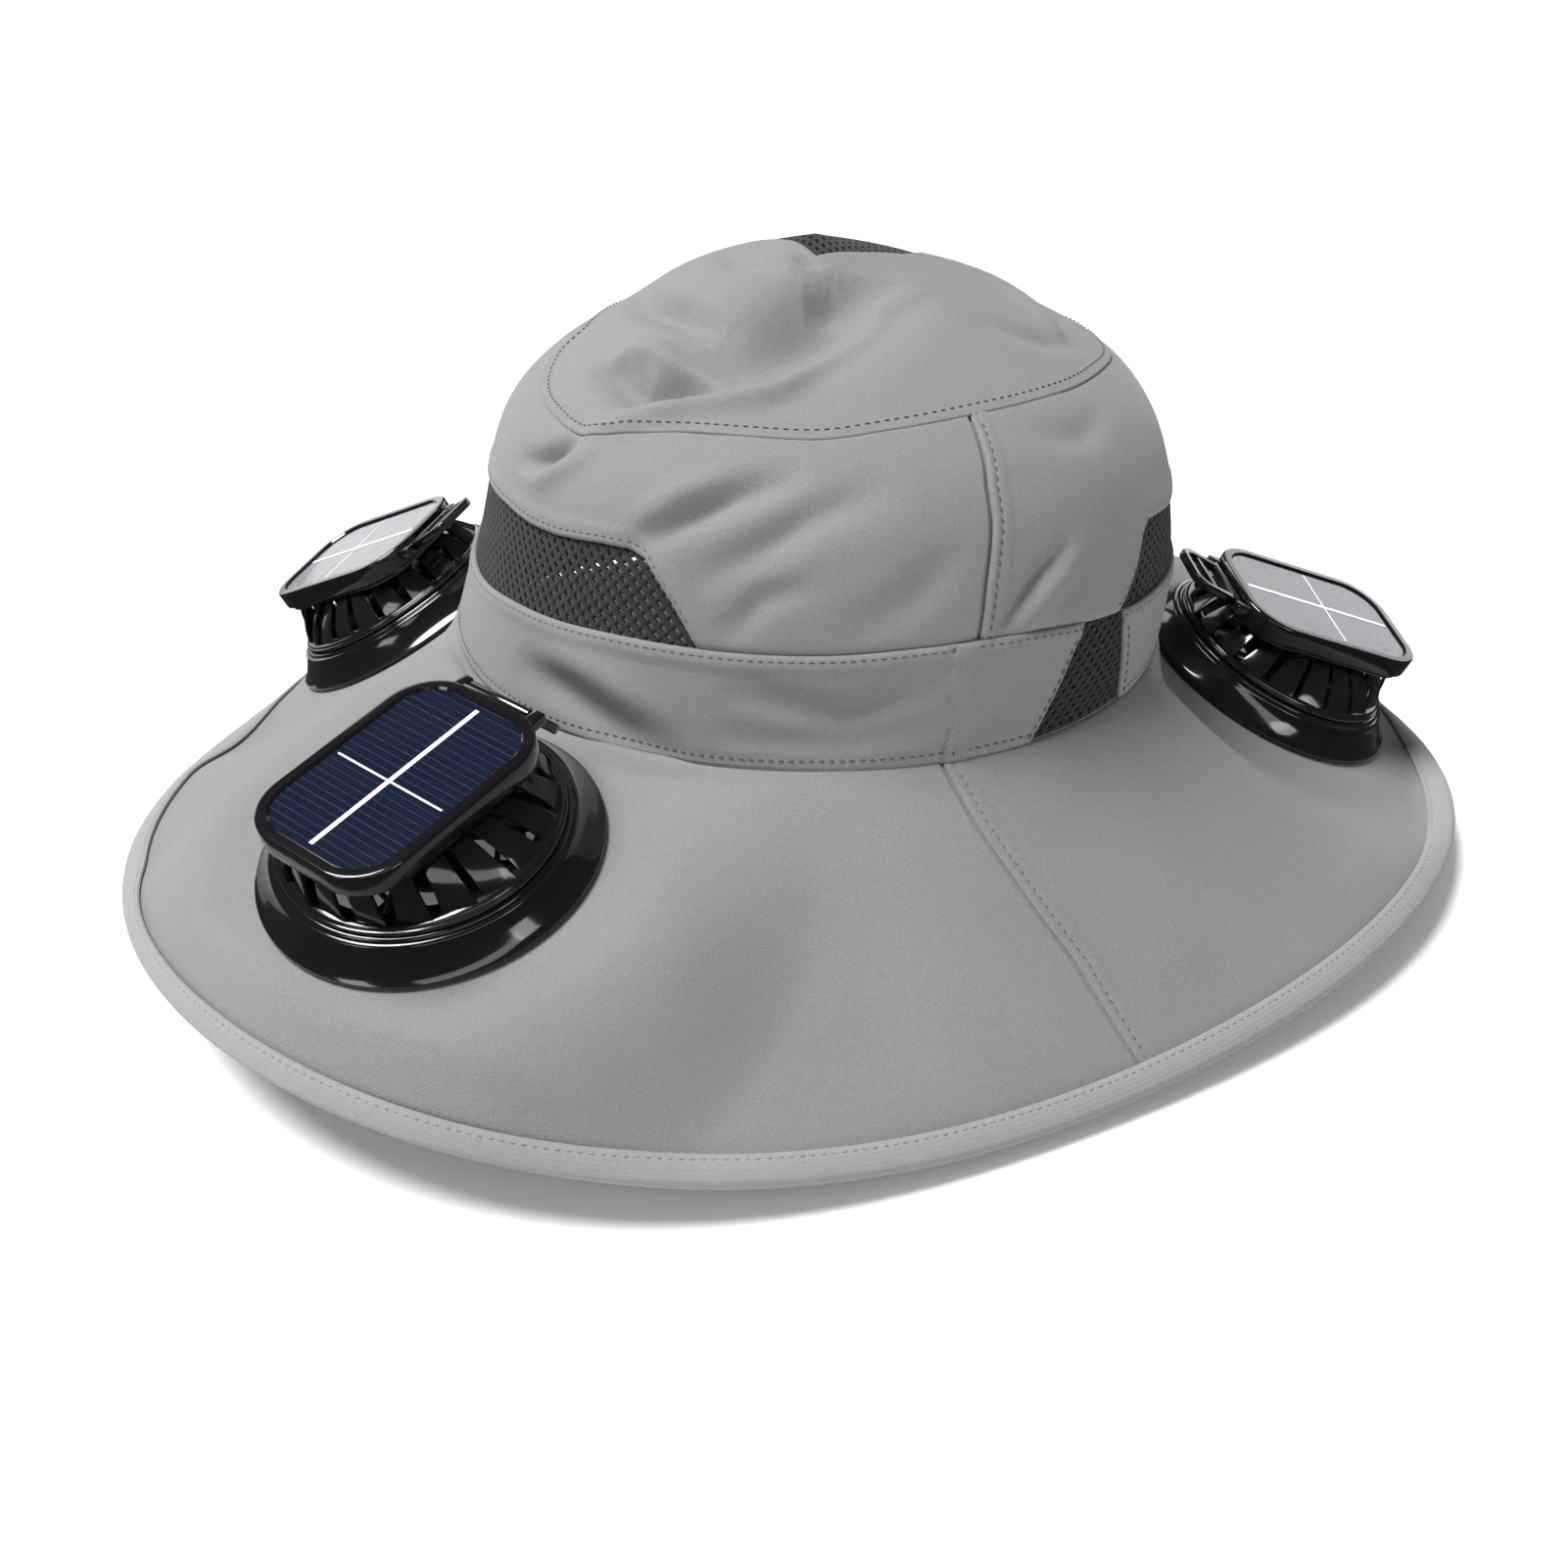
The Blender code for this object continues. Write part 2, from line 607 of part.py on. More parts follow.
def build_fan(name, group, cutters, finishes):
    frame = FAN_FRAMES[name]
    seat = bpy.data.objects.new(f"fan_seat_{name}", None)
    group.objects.link(seat)
    seat.matrix_world = frame

    flange = turned(f"fan_flange_{name}", [
        (BORE_RADIUS, CAGE_FOOT - SEAM_GAP),
        (COLLAR_RADIUS, CAGE_FOOT - SEAM_GAP),
        (COLLAR_RADIUS, FLANGE_HEIGHT),
        (FLANGE_RADIUS, FLANGE_REST + FLANGE_WALL / 2),
        (FLANGE_RADIUS, FLANGE_REST),
        (FLANGE_RADIUS - 2 * FLANGE_WALL, FLANGE_REST),
        (BORE_RADIUS + FLANGE_WALL, FLANGE_HEIGHT - 2 * FLANGE_WALL),
        (BORE_RADIUS + FLANGE_WALL, -CLOTH - 2 * SEAM_GAP),
        (BORE_RADIUS, -CLOTH - 2 * SEAM_GAP),
    ], group, finishes["plastic"])
    flange.parent = seat

    guard_top = -CLOTH - 3 * SEAM_GAP
    guard_low = guard_top - GUARD_THICKNESS
    guard = turned(f"fan_guard_{name}", [
        (BORE_RADIUS - FLANGE_WALL, guard_top), (BORE_RADIUS + 3 * FLANGE_WALL, guard_top),
        (BORE_RADIUS + 3 * FLANGE_WALL, guard_low), (BORE_RADIUS - FLANGE_WALL, guard_low)],
        group, finishes["plastic"])
    hub = turned(f"cut_guard_hub_{name}", [(MOTOR_RADIUS, guard_top), (MOTOR_RADIUS, guard_low)],
                 cutters, None, True, SMALL_SIDES)
    bars = [hub]
    for k in range(GUARD_SPOKES // 2):
        bm = bmesh.new()
        box(bm, (-BORE_RADIUS, -GUARD_SPOKE_WIDTH / 2, guard_low + SEAM_GAP),
            (BORE_RADIUS, GUARD_SPOKE_WIDTH / 2, guard_top - SEAM_GAP))
        bmesh.ops.rotate(bm, cent=(0, 0, 0), matrix=Matrix.Rotation(2 * math.pi * k / GUARD_SPOKES, 3, "Z"),
                         verts=bm.verts)
        bars.append(add_object(f"cut_spoke_{k}_{name}", bm_mesh(bm, f"spoke_{k}"), cutters))
    for bar in bars:
        bar.parent = seat
    guard.parent = seat
    join_by_boolean(guard, bars, cutters)

    build_cage(name, seat, group, cutters, finishes["plastic"])
    build_panel(name, seat, group, cutters, finishes)
    build_rotor(name, seat, group, cutters, finishes["plastic"])
    build_clip(name, seat, group, cutters, finishes["plastic"])


def build_cage(name, seat, group, cutters, finish):
    """Ring, upright slats, deck and motor of a fan, one moulding."""
    cage = turned(f"fan_cage_{name}", [
        (BORE_RADIUS, SLAT_FOOT), (CAGE_RADIUS, SLAT_FOOT),
        (CAGE_RADIUS + CAGE_WALL / 3, CAGE_FOOT), (BORE_RADIUS, CAGE_FOOT)], group, finish)
    deck = plate(f"cut_deck_{name}", rounded_outline(BEZEL_LENGTH - 2 * DECK_INSET, BEZEL_WIDTH - 2 * DECK_INSET,
                                                     BEZEL_CORNER), 0.0, DECK_THICKNESS, cutters, finish)
    deck.matrix_local = bezel_frame(DECK_HEIGHT)
    motor = turned(f"cut_motor_{name}", [(MOTOR_RADIUS, DECK_HEIGHT + DECK_THICKNESS / 2),
                                         (MOTOR_RADIUS, HUB_TOP + HUB_GAP)], cutters, finish, True, SMALL_SIDES)
    bm = bmesh.new()
    slat_inset = DECK_INSET + SLAT_DEPTH
    half_length, half_width = BEZEL_LENGTH / 2 - slat_inset, BEZEL_WIDTH / 2 - slat_inset
    sunk = CAGE_WALL / 4    # depth of a slat's foot in the ring
    for k in range(SLAT_COUNT):
        turn = 2 * math.pi * (k + 0.5) / SLAT_COUNT
        foot_reach = CAGE_RADIUS - SLAT_DEPTH * 1.4
        power = 3.0         # the slats' heads follow the bezel's rounded outline
        top_reach = (abs(math.cos(turn) / half_length) ** power + abs(math.sin(turn) / half_width) ** power)
        top_reach = top_reach ** (-1.0 / power)
        made = box(bm, (-SLAT_DEPTH / 2, -0.5, 0.0), (SLAT_DEPTH / 2, 0.5, 1.0))
        for vert in made:
            rise = vert.co.z
            reach = foot_reach + (top_reach - foot_reach) * rise + vert.co.x
            lean_x = BEZEL_OFFSET * rise
            deck_z = DECK_HEIGHT + DECK_THICKNESS / 2 + math.tan(LEAN) * reach * math.cos(turn)
            height = SLAT_FOOT - sunk + (deck_z - SLAT_FOOT + sunk) * rise
            side = vert.co.y * (SLAT_FOOT_WIDTH + (SLAT_WIDTH - SLAT_FOOT_WIDTH) * rise)
            vert.co = Vector((lean_x + reach * math.cos(turn) - side * math.sin(turn),
                              reach * math.sin(turn) + side * math.cos(turn), height))
    bmesh.ops.recalc_face_normals(bm, faces=bm.faces)
    slats = add_object(f"cut_slats_{name}", bm_mesh(bm, "slats"), cutters, finish)
    for item in (cage, deck, motor, slats):
        item.parent = seat
    join_by_boolean(cage, [slats, deck, motor], cutters)


def build_panel(name, seat, group, cutters, finishes):
    """Solar bezel with its sunk cell."""
    outline = rounded_outline(BEZEL_LENGTH, BEZEL_WIDTH, BEZEL_CORNER)
    bezel = plate(f"solar_bezel_{name}", outline, 0.0, BEZEL_THICKNESS, group, finishes["plastic"])
    cell_outline = rounded_outline(BEZEL_LENGTH - 2 * BEZEL_RIM, BEZEL_WIDTH - 2 * BEZEL_RIM,
                                   BEZEL_CORNER - BEZEL_RIM)
    sink_outline = rounded_outline(BEZEL_LENGTH - 2 * BEZEL_RIM + 2 * SEAM_GAP,
                                   BEZEL_WIDTH - 2 * BEZEL_RIM + 2 * SEAM_GAP,
                                   BEZEL_CORNER - BEZEL_RIM + SEAM_GAP)
    cell_top = BEZEL_THICKNESS - CELL_DEPTH
    cell_low = cell_top - CELL_THICKNESS
    sink = plate(f"cut_sink_{name}", sink_outline, cell_low - SEAM_GAP, BEZEL_THICKNESS * 1.5, cutters, None)
    cell = plate(f"solar_cell_{name}", cell_outline, cell_low, cell_top, group, finishes["cell"])
    for item in (bezel, sink, cell):
        item.parent = seat
        item.matrix_local = bezel_frame(BEZEL_FOOT)
    ears = clip_ears(name, cutters)
    ears.parent = seat
    ears.matrix_local = bezel_frame(BEZEL_FOOT)
    join_by_boolean(bezel, [ears], cutters)
    join_by_boolean(bezel, [sink], cutters, "DIFFERENCE")


HINGE_X = BEZEL_LENGTH / 2 + CLIP_BAR / 2 + 2 * SEAM_GAP
HINGE_Z = BEZEL_THICKNESS / 2


def clip_ears(name, cutters):
    """Two ears and the pin that carries the clip, moulded to the bezel's crown end."""
    bm = bmesh.new()
    for side in (-1, 1):
        near = side * (CLIP_WIDTH / 2 + SEAM_GAP)
        far = side * (CLIP_WIDTH / 2 + SEAM_GAP + CLIP_EAR)
        box(bm, (BEZEL_LENGTH / 2 - BEZEL_RIM / 2, min(near, far), HINGE_Z - CLIP_BAR / 2),
            (HINGE_X + CLIP_BAR / 2, max(near, far), HINGE_Z + CLIP_BAR / 2))
    return add_object(f"cut_ears_{name}", bm_mesh(bm, "ears"), cutters)


def build_clip(name, seat, group, cutters, finish):
    """Looped clip hinged on the bezel's crown end, with its cross bar."""
    half, bar, thick = CLIP_WIDTH / 2, CLIP_BAR, CLIP_BAR / 2
    barrel, arms, bars = bmesh.new(), bmesh.new(), bmesh.new()
    box(barrel, (-thick, -half, -thick), (thick, half, thick))
    for side in (-1, 1):
        inner, outer = sorted((side * (half - bar), side * half))
        box(arms, (0.0, inner, -thick * 0.9), (CLIP_LENGTH, outer, thick * 0.9))
    for start, end, share in ((CLIP_LENGTH * 0.45, CLIP_LENGTH * 0.62, 0.7), (CLIP_LENGTH - bar, CLIP_LENGTH, 0.8)):
        box(bars, (start, -half + bar / 2, -thick * share), (end - SEAM_GAP, half - bar / 2, thick * share))
    clip = add_object(f"fan_clip_{name}", bm_mesh(barrel, "clip"), group, finish)
    others = [add_object(f"cut_clip_arms_{name}", bm_mesh(arms, "arms"), cutters),
              add_object(f"cut_clip_bars_{name}", bm_mesh(bars, "bars"), cutters)]
    for item in [clip] + others:
        item.parent = seat
        item.matrix_local = (bezel_frame(BEZEL_FOOT) @ Matrix.Translation((HINGE_X, 0, HINGE_Z))
                             @ Matrix.Rotation(-math.radians(CLIP_RISES[name]), 4, "Y"))
    join_by_boolean(clip, others, cutters)


def build_rotor(name, seat, group, cutters, finish):
    """Hub and pitched blades, which turn under the motor."""
    rotor = turned(f"fan_rotor_{name}", [(HUB_RADIUS * 0.9, 0.0), (HUB_RADIUS, -HUB_HEIGHT * 0.15),
                                         (HUB_RADIUS, -HUB_HEIGHT)], group, finish, True, SMALL_SIDES)
    bm = bmesh.new()
    pitch = math.radians(BLADE_PITCH)
    root, tip = HUB_RADIUS * 0.8, BORE_RADIUS - BLADE_TIP_GAP
    for k in range(BLADE_COUNT):
        made = box(bm, (root, -0.5, -0.5), (tip, 0.5, 0.5))
        turn = Matrix.Rotation(2 * math.pi * k / BLADE_COUNT, 3, "Z")
        for vert in made:
            share = (vert.co.x - root) / (tip - root)
            chord = HUB_HEIGHT * (0.85 + 0.35 * share)    # wider towards the tip
            flat = Vector((vert.co.x, vert.co.y * chord, vert.co.z * BLADE_THICKNESS))
            vert.co = turn @ (Matrix.Rotation(pitch, 3, "X") @ flat + Vector((0, 0, -HUB_HEIGHT * 0.5)))
    blades = add_object(f"cut_blades_{name}", bm_mesh(bm, "blades"), cutters, finish)
    rotor.parent = seat
    rotor.location = (0, 0, HUB_TOP)
    blades.parent = rotor
    join_by_boolean(rotor, [blades], cutters)


def build_hat():
    clear_scene()
    hat = collection("solar_fan_hat")
    cutters = collection("cutters")
    cloth = material("grey_cloth", (0.30, 0.31, 0.32), 0.85)
    binding = material("binding_cloth", (0.33, 0.33, 0.33), 0.85)
    vents = material("vent_mesh", (0.05, 0.05, 0.05), 0.8)
    finishes = {"plastic": material("black_plastic", (0.01, 0.01, 0.011), 0.12),
                "cell": material("solar_cell", (0.005, 0.015, 0.05), 0.1)}
    build_crown(hat, cloth, vents)
    build_band(hat, cloth, vents)
    build_brim(hat, cutters, cloth, binding)
    for name in FAN_SEATS:
        build_fan(name, hat, cutters, finishes)


build_hat()
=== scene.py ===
import json
import math

import bmesh
import bpy
import numpy as np
from mathutils import Matrix, Vector


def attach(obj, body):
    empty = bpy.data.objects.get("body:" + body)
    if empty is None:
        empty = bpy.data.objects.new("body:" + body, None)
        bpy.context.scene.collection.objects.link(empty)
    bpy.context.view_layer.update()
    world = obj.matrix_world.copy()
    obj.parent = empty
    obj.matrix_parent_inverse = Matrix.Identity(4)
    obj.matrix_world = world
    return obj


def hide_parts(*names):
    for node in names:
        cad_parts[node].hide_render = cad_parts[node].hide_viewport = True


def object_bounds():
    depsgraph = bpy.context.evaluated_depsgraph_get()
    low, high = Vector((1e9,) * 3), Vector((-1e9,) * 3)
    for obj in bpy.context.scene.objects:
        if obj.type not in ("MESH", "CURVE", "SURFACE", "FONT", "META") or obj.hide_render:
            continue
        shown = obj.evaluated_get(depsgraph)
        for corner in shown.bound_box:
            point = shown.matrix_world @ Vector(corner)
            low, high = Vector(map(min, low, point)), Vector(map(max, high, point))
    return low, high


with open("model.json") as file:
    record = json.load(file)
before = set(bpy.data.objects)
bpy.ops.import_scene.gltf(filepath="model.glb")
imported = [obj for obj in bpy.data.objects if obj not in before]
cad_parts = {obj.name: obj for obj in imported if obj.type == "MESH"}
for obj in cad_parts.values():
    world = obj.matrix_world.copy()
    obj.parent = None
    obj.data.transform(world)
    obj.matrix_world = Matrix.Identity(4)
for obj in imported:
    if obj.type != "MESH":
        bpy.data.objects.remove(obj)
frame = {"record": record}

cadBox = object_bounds()
mm = 0.001
fanNames = ["front", "right", "left"]


# Shape of the head part, shared by every panel of the crown
crown = {
    "axis": (-0.0019, -0.0054),
    "seamHeight": 0.0617416,
    "radius": 0.0918,
    "oval": 0.01,
    "square": 0.01,
    "longWay": 25.0,
    "height": 0.0931,
    "cloth": 1.3 * mm,
    "sections": [
        # level, height, radius, oval, right, back
        (0.00, 0.000, 1.000, 1.0, -0.009, -0.005),
        (0.14, 0.156, 0.985, 1.0, 0.025, 0.005),
        (0.26, 0.293, 0.965, 1.0, 0.044, 0.012),
        (0.40, 0.454, 0.927, 0.9, 0.050, 0.014),
        (0.52, 0.577, 0.873, 0.5, 0.051, 0.015),
        (0.62, 0.675, 0.778, 0.0, 0.056, 0.017),
        (0.74, 0.776, 0.600, -0.4, 0.047, 0.031),
        (0.87, 0.897, 0.347, -0.4, 0.013, 0.063),
        (1.00, 1.000, 0.000, 0.0, 0.013, 0.063),
    ],
}

# Top edge of the band and seam of the tip: azimuth, level
bandEdge = [(-180, 0.160), (-104, 0.172), (-74.6, 0.185), (-64.3, 0.196), (-55, 0.212), (-43.5, 0.225),
            (-32.4, 0.237), (-23.1, 0.241), (-10.7, 0.243), (1, 0.247), (14.3, 0.256), (28.5, 0.256),
            (46.5, 0.231), (90, 0.190), (140, 0.165), (180, 0.160)]
tipEdge = [(-180, 0.640), (-140, 0.655), (-110, 0.690), (-93.5, 0.690), (-86.6, 0.655), (-68.9, 0.614),
           (-59, 0.606), (-47.4, 0.600), (-38, 0.629), (-28.5, 0.652), (-17.8, 0.658), (-2.3, 0.658),
           (10.8, 0.672), (28.6, 0.684), (42.7, 0.684), (53.6, 0.679), (73.4, 0.664), (92.1, 0.640),
           (140, 0.630), (180, 0.640)]

# Upper edges of the mesh vents
leftVent = [(-104.0, 0.172), (-101.5, 0.300), (-97.0, 0.350), (-75.1, 0.374), (-61.8, 0.388), (-52, 0.388),
            (-45, 0.394), (-36, 0.410), (-30.9, 0.413), (-27.9, 0.400), (-25.6, 0.366), (-22.8, 0.324),
            (-18.3, 0.242)]
rightVent = [(47.5, 0.231), (48.6, 0.248), (52.6, 0.309), (55.2, 0.360), (57.5, 0.381), (62.9, 0.370),
             (71, 0.350), (78.4, 0.337), (132.0, 0.330), (137.5, 0.290), (140.0, 0.165)]
# Corners of the band's window by azimuth, and of the rear vent in plan, in mm
bandVent = {"topFrom": 39.4, "topTo": 48.3, "lowFrom": 33.0, "lowTo": 52.6}
rearVent = {"cornerLeft": (-8.5, 1.0), "front": (-2.6, -10.8), "cornerRight": (20.5, 4.2),
            "backLeft": (-50.0, 55.0), "backRight": (52.0, 54.0), "gridFront": -14.0, "gridBack": 68.0}

# Folds of the crown: points (azimuth, level), width and depth in mm; a minus depth stands proud
crownFolds = [
    ([(-46, 0.745), (-20, 0.800), (0, 0.850), (20, 0.885), (44, 0.925)], 12.3, 9.6),
    ([(-62, 0.722), (-46, 0.708), (-38, 0.728), (-28, 0.728)], 4.5, 5.8),
    ([(-105, 0.790), (-58, 0.835), (-34, 0.830)], 4.7, 4.8),
    ([(-50, 0.575), (-44, 0.632), (-40, 0.653), (-35, 0.680), (-30, 0.703), (-22, 0.720),
      (-16, 0.729), (-11, 0.746), (-4, 0.786), (6, 0.816), (32, 0.880), (50, 0.884)], 3.6, -4.0),
    ([(-60, 0.500), (-55, 0.520), (-51, 0.555), (-48, 0.595)], 2.6, 4.2),
    ([(-58, 0.478), (-52, 0.492), (-47, 0.540), (-43, 0.590)], 2.8, -1.7),
    ([(-66, 0.690), (-58, 0.757), (-50, 0.772), (-32, 0.762), (-21, 0.745)], 2.9, -2.6),
    ([(-30, 0.425), (-22.6, 0.496), (-15.6, 0.549), (-6.8, 0.587)], 3.4, 3.4),
    ([(-30, 0.470), (-24, 0.535), (-15, 0.590)], 4.0, -1.8),
    ([(-18.4, 0.378), (-10.1, 0.452), (-3, 0.516), (7.5, 0.571)], 3.9, 2.4),
    ([(-14.6, 0.272), (-9.5, 0.353), (-2.6, 0.381)], 3.1, 1.6),
    ([(4, 0.30), (12, 0.36), (18, 0.43)], 4.3, 1.3),
    ([(23.6, 0.262), (28, 0.325), (31.6, 0.371), (36.4, 0.410)], 1.5, 2.0),
    ([(27, 0.262), (33, 0.330), (40, 0.400)], 2.8, -1.7),
    ([(-46, 0.100), (-38, 0.090), (-30, 0.055), (-19.7, 0.020)], 4.3, 4.0),
    ([(-46, 0.160), (-34, 0.150), (-22, 0.100)], 4.3, -1.6),
    ([(-10.8, 0.165), (3.4, 0.120), (14.9, 0.172)], 3.6, 2.4),
    ([(-12, 0.070), (4, 0.060), (16, 0.090)], 3.4, 1.3),
    ([(-6, 0.896), (8, 0.900), (19.7, 0.908)], 4.6, 2.6),
    ([(-24, 0.957), (-8, 0.948), (6, 0.945)], 1.4, 1.8),
    ([(-100, 0.915), (-60, 0.922), (-30, 0.930)], 1.9, 2.1),
    ([(113, 0.883), (103, 0.815), (88, 0.760), (76, 0.720)], 3.4, -2.4),
    ([(60, 0.80), (72, 0.74), (84, 0.70)], 4.3, 1.8),
    ([(38, 0.63), (48, 0.60), (58, 0.62)], 3.4, 1.6),
    ([(172, 0.40), (188, 0.47), (205, 0.55)], 6.6, 2.9),
    ([(120, 0.47), (136, 0.43), (150, 0.40)], 5.6, 2.4),
    ([(-150, 0.30), (-140, 0.42), (-128, 0.50)], 5.2, 2.4),
]


def curveAt(rows, place):
    # values of a table on a smooth curve, at an array of places in its first column
    rows = np.asarray(rows, float)
    place = np.asarray(place, float)
    at = rows[:, 0]
    here = np.clip(np.searchsorted(at, place, side="right") - 1, 0, len(at) - 2)
    before, after = np.maximum(here - 1, 0), np.minimum(here + 2, len(at) - 1)
    width = at[here + 1] - at[here]
    t = np.clip((place - at[here]) / width, 0, 1)[:, None]
    slopeIn = (rows[here + 1] - rows[before]) / (at[here + 1] - at[before])[:, None] * width[:, None]
    slopeOut = (rows[after] - rows[here]) / (at[after] - at[here])[:, None] * width[:, None]
    values = ((2 * t**3 - 3 * t**2 + 1) * rows[here] + (t**3 - 2 * t**2 + t) * slopeIn
              + (3 * t**2 - 2 * t**3) * rows[here + 1] + (t**3 - t**2) * slopeOut)
    return values[:, 1:].T


def levelAt(rows, azimuth):
    turned = (np.asarray(azimuth, float) + 180.0) % 360.0 - 180.0
    return curveAt(rows, turned)[0]


def ventLevel(vent, azimuth):
    # level of a vent's upper edge, and nothing outside it
    start, end = vent[0][0], vent[-1][0]
    turned = (np.asarray(azimuth, float) - start) % 360.0 + start
    return np.where(turned <= end, np.interp(turned, *zip(*vent)), 0.0)


def heading(azimuth):
    turn = np.radians(azimuth)
    return np.stack([np.sin(turn), -np.cos(turn), np.zeros_like(turn)], -1)


def crownReach(azimuth, radius, oval):
    longer = crown["oval"] * oval * np.cos(2 * np.radians(azimuth - crown["longWay"]))
    squarer = crown["square"] * np.cos(4 * np.radians(azimuth))
    return crown["radius"] * radius * (1 + longer - squarer)


def crownBase(azimuth, level):
    # the crown's outer face before its folds
    azimuth, level = (side.ravel() for side in np.broadcast_arrays(np.asarray(azimuth, float), level))
    height, radius, oval, right, back = curveAt(crown["sections"], level)
    points = heading(azimuth) * crownReach(azimuth, radius, oval)[:, None]
    points[:, 0] += crown["axis"][0] + right * crown["radius"]
    points[:, 1] += crown["axis"][1] + back * crown["radius"]
    points[:, 2] += crown["seamHeight"] + height * crown["height"]
    return points


def unit(vectors):
    return vectors / np.maximum(np.linalg.norm(vectors, axis=-1, keepdims=True), 1e-12)


def crownOutward(azimuth, level):
    step = 0.01
    low = np.clip(level, 0.0, 1.0 - 2 * step)
    along = crownBase(azimuth + 1.0, low) - crownBase(azimuth - 1.0, low)
    up = crownBase(azimuth, low + step) - crownBase(azimuth, np.maximum(low - step, 0.0))
    normal = unit(np.cross(along, up))
    top = np.clip((level - 0.94) / 0.05, 0, 1)[:, None]
    return unit(normal * (1 - top) + np.array((0, 0, 1.0)) * top)


def lineDistance(points, line):
    # distance to a line of points, and the share along it
    best = np.full(len(points), 1.0)
    share = np.zeros(len(points))
    for k in range(len(line) - 1):
        leg = line[k + 1] - line[k]
        t = np.clip((points - line[k]) @ leg / (leg @ leg), 0, 1)
        gap = np.linalg.norm(points - line[k] - t[:, None] * leg, axis=1)
        nearer = gap < best
        best = np.where(nearer, gap, best)
        share = np.where(nearer, (k + t) / (len(line) - 1), share)
    return best, share


def pathStops(path):
    # a fold's path filled out with close stops between its points
    path = np.array(path, float)
    stops = np.linspace(0, len(path) - 1, 5 * (len(path) - 1) + 1)
    return np.interp(stops, range(len(path)), path[:, 0]), np.interp(stops, range(len(path)), path[:, 1])


crownLines = [(crownBase(*pathStops(path)), width, depth) for path, width, depth in crownFolds]


def foldDepths(points, folds, least):
    # the folds' depth at each point, shallower at both ends of a fold's line
    total = np.zeros(len(points))
    for line, width, depth in folds:
        gap, share = lineDistance(points, line)
        fade = least + (1 - least) * np.sin(math.pi * share)
        total += depth * mm * np.exp(-(gap / (width * mm))**2) * fade
    return total


def crownPoint(azimuth, level, sunk=0.0):
    # the crown's outer face with its folds, sunk inwards by a depth
    azimuth, level = (side.ravel() for side in np.broadcast_arrays(np.asarray(azimuth, float), level))
    base = crownBase(azimuth, level)
    push = sunk + foldDepths(base, crownLines, 0.25)
    return base - crownOutward(azimuth, level) * push[:, None]


# Brim: mean width, fall, waves of its edge, and the flat seats of the fans
brim = {
    "reach": 0.0792,
    "drop": 0.0536,
    "edgeRest": 1.0 * mm,
    "waves": [
        # cycles, reach, crest, lift, crest
        (1, 0.0455, -138.0, 0.1139, -25.0),
        (2, 0.0410, -50.0, 0.0763, -58.0),
        (3, 0.0440, -35.0, 0.0899, -49.0),
    ],
    "flatRadius": 49.0 * mm,
    "flatFade": 36.0 * mm,
    "hole": 27.6 * mm,
    # azimuth, share out
    "seam": [(19.4, 0.0), (21.4, 0.175), (24.0, 0.355), (27.4, 0.615), (29.9, 0.960)],
    "inner": -0.014,
    "outer": 0.985,
    "bindingWidth": 6.0 * mm,
}
brim["radius"] = crown["radius"] + brim["reach"]
brim["hem"] = 1.0 - 1.3 * brim["bindingWidth"] / brim["reach"]
# Folds of the brim: points (azimuth, share out), width and depth in mm
brimFolds = [
    ([(-62, 0.30), (-64, 0.60), (-66, 0.85)], 12.0, 1.6),
    ([(4, 0.25), (6, 0.50), (8, 0.85)], 16.0, 1.8),
    ([(34, 0.25), (38, 0.60), (40, 0.85)], 12.0, -1.4),
    ([(62, 0.30), (64, 0.60), (66, 0.85)], 12.0, 1.8),
    ([(-12, 0.45), (-10, 0.85)], 12.0, -1.2),
    ([(150, 0.20), (152, 0.85)], 13.0, 2.0),
    ([(-165, 0.20), (-160, 0.85)], 13.0, 1.8),
]


def edgeWaves(azimuth):
    reach, lift = np.zeros_like(azimuth), np.zeros_like(azimuth)
    for cycles, reachShare, reachCrest, liftShare, liftCrest in brim["waves"]:
        reach = reach + reachShare * np.cos(np.radians(cycles * (azimuth - reachCrest)))
        lift = lift + liftShare * np.cos(np.radians(cycles * (azimuth - liftCrest)))
    return brim["radius"] * (1 + reach), brim["drop"] * lift


lowestLift = edgeWaves(np.arange(0, 360, 0.5))[1].min()


def brimEdge(azimuth):
    reach, lift = edgeWaves(azimuth)
    points = heading(azimuth) * reach[:, None]
    points[:, 0] += crown["axis"][0]
    points[:, 1] += crown["axis"][1]
    points[:, 2] += lift - lowestLift + brim["edgeRest"] + crown["cloth"] / 2
    return points


def jointOf(kind, name):
    joints = frame["record"]["behaviour"]["joints"]
    return next(j for j in joints if j["name"] == f"{kind}_{name}")


def fanFrame(name):
    # a fan's own frame: z out of the brim, x towards the crown
    spin = jointOf("rotor_spin", name)
    up = Vector(spin["axis"]).normalized()
    across = -Vector(jointOf("clip_hinge", name)["axis"]).normalized()
    along = across.cross(up).normalized()
    turn = Matrix((along, up.cross(along), up)).transposed().to_4x4()
    turn.translation = Vector(spin["pos_m"])
    return turn


fanFrames = {name: fanFrame(name) for name in fanNames}


def smoothStep(share):
    share = np.clip(share, 0, 1)
    return share * share * (3 - 2 * share)


def fallPast(gap, start, width):
    # one up to a distance, then down to nothing
    return 1 - smoothStep((gap - start) / width)


def apart(here, there):
    return np.linalg.norm(here - there, axis=1)


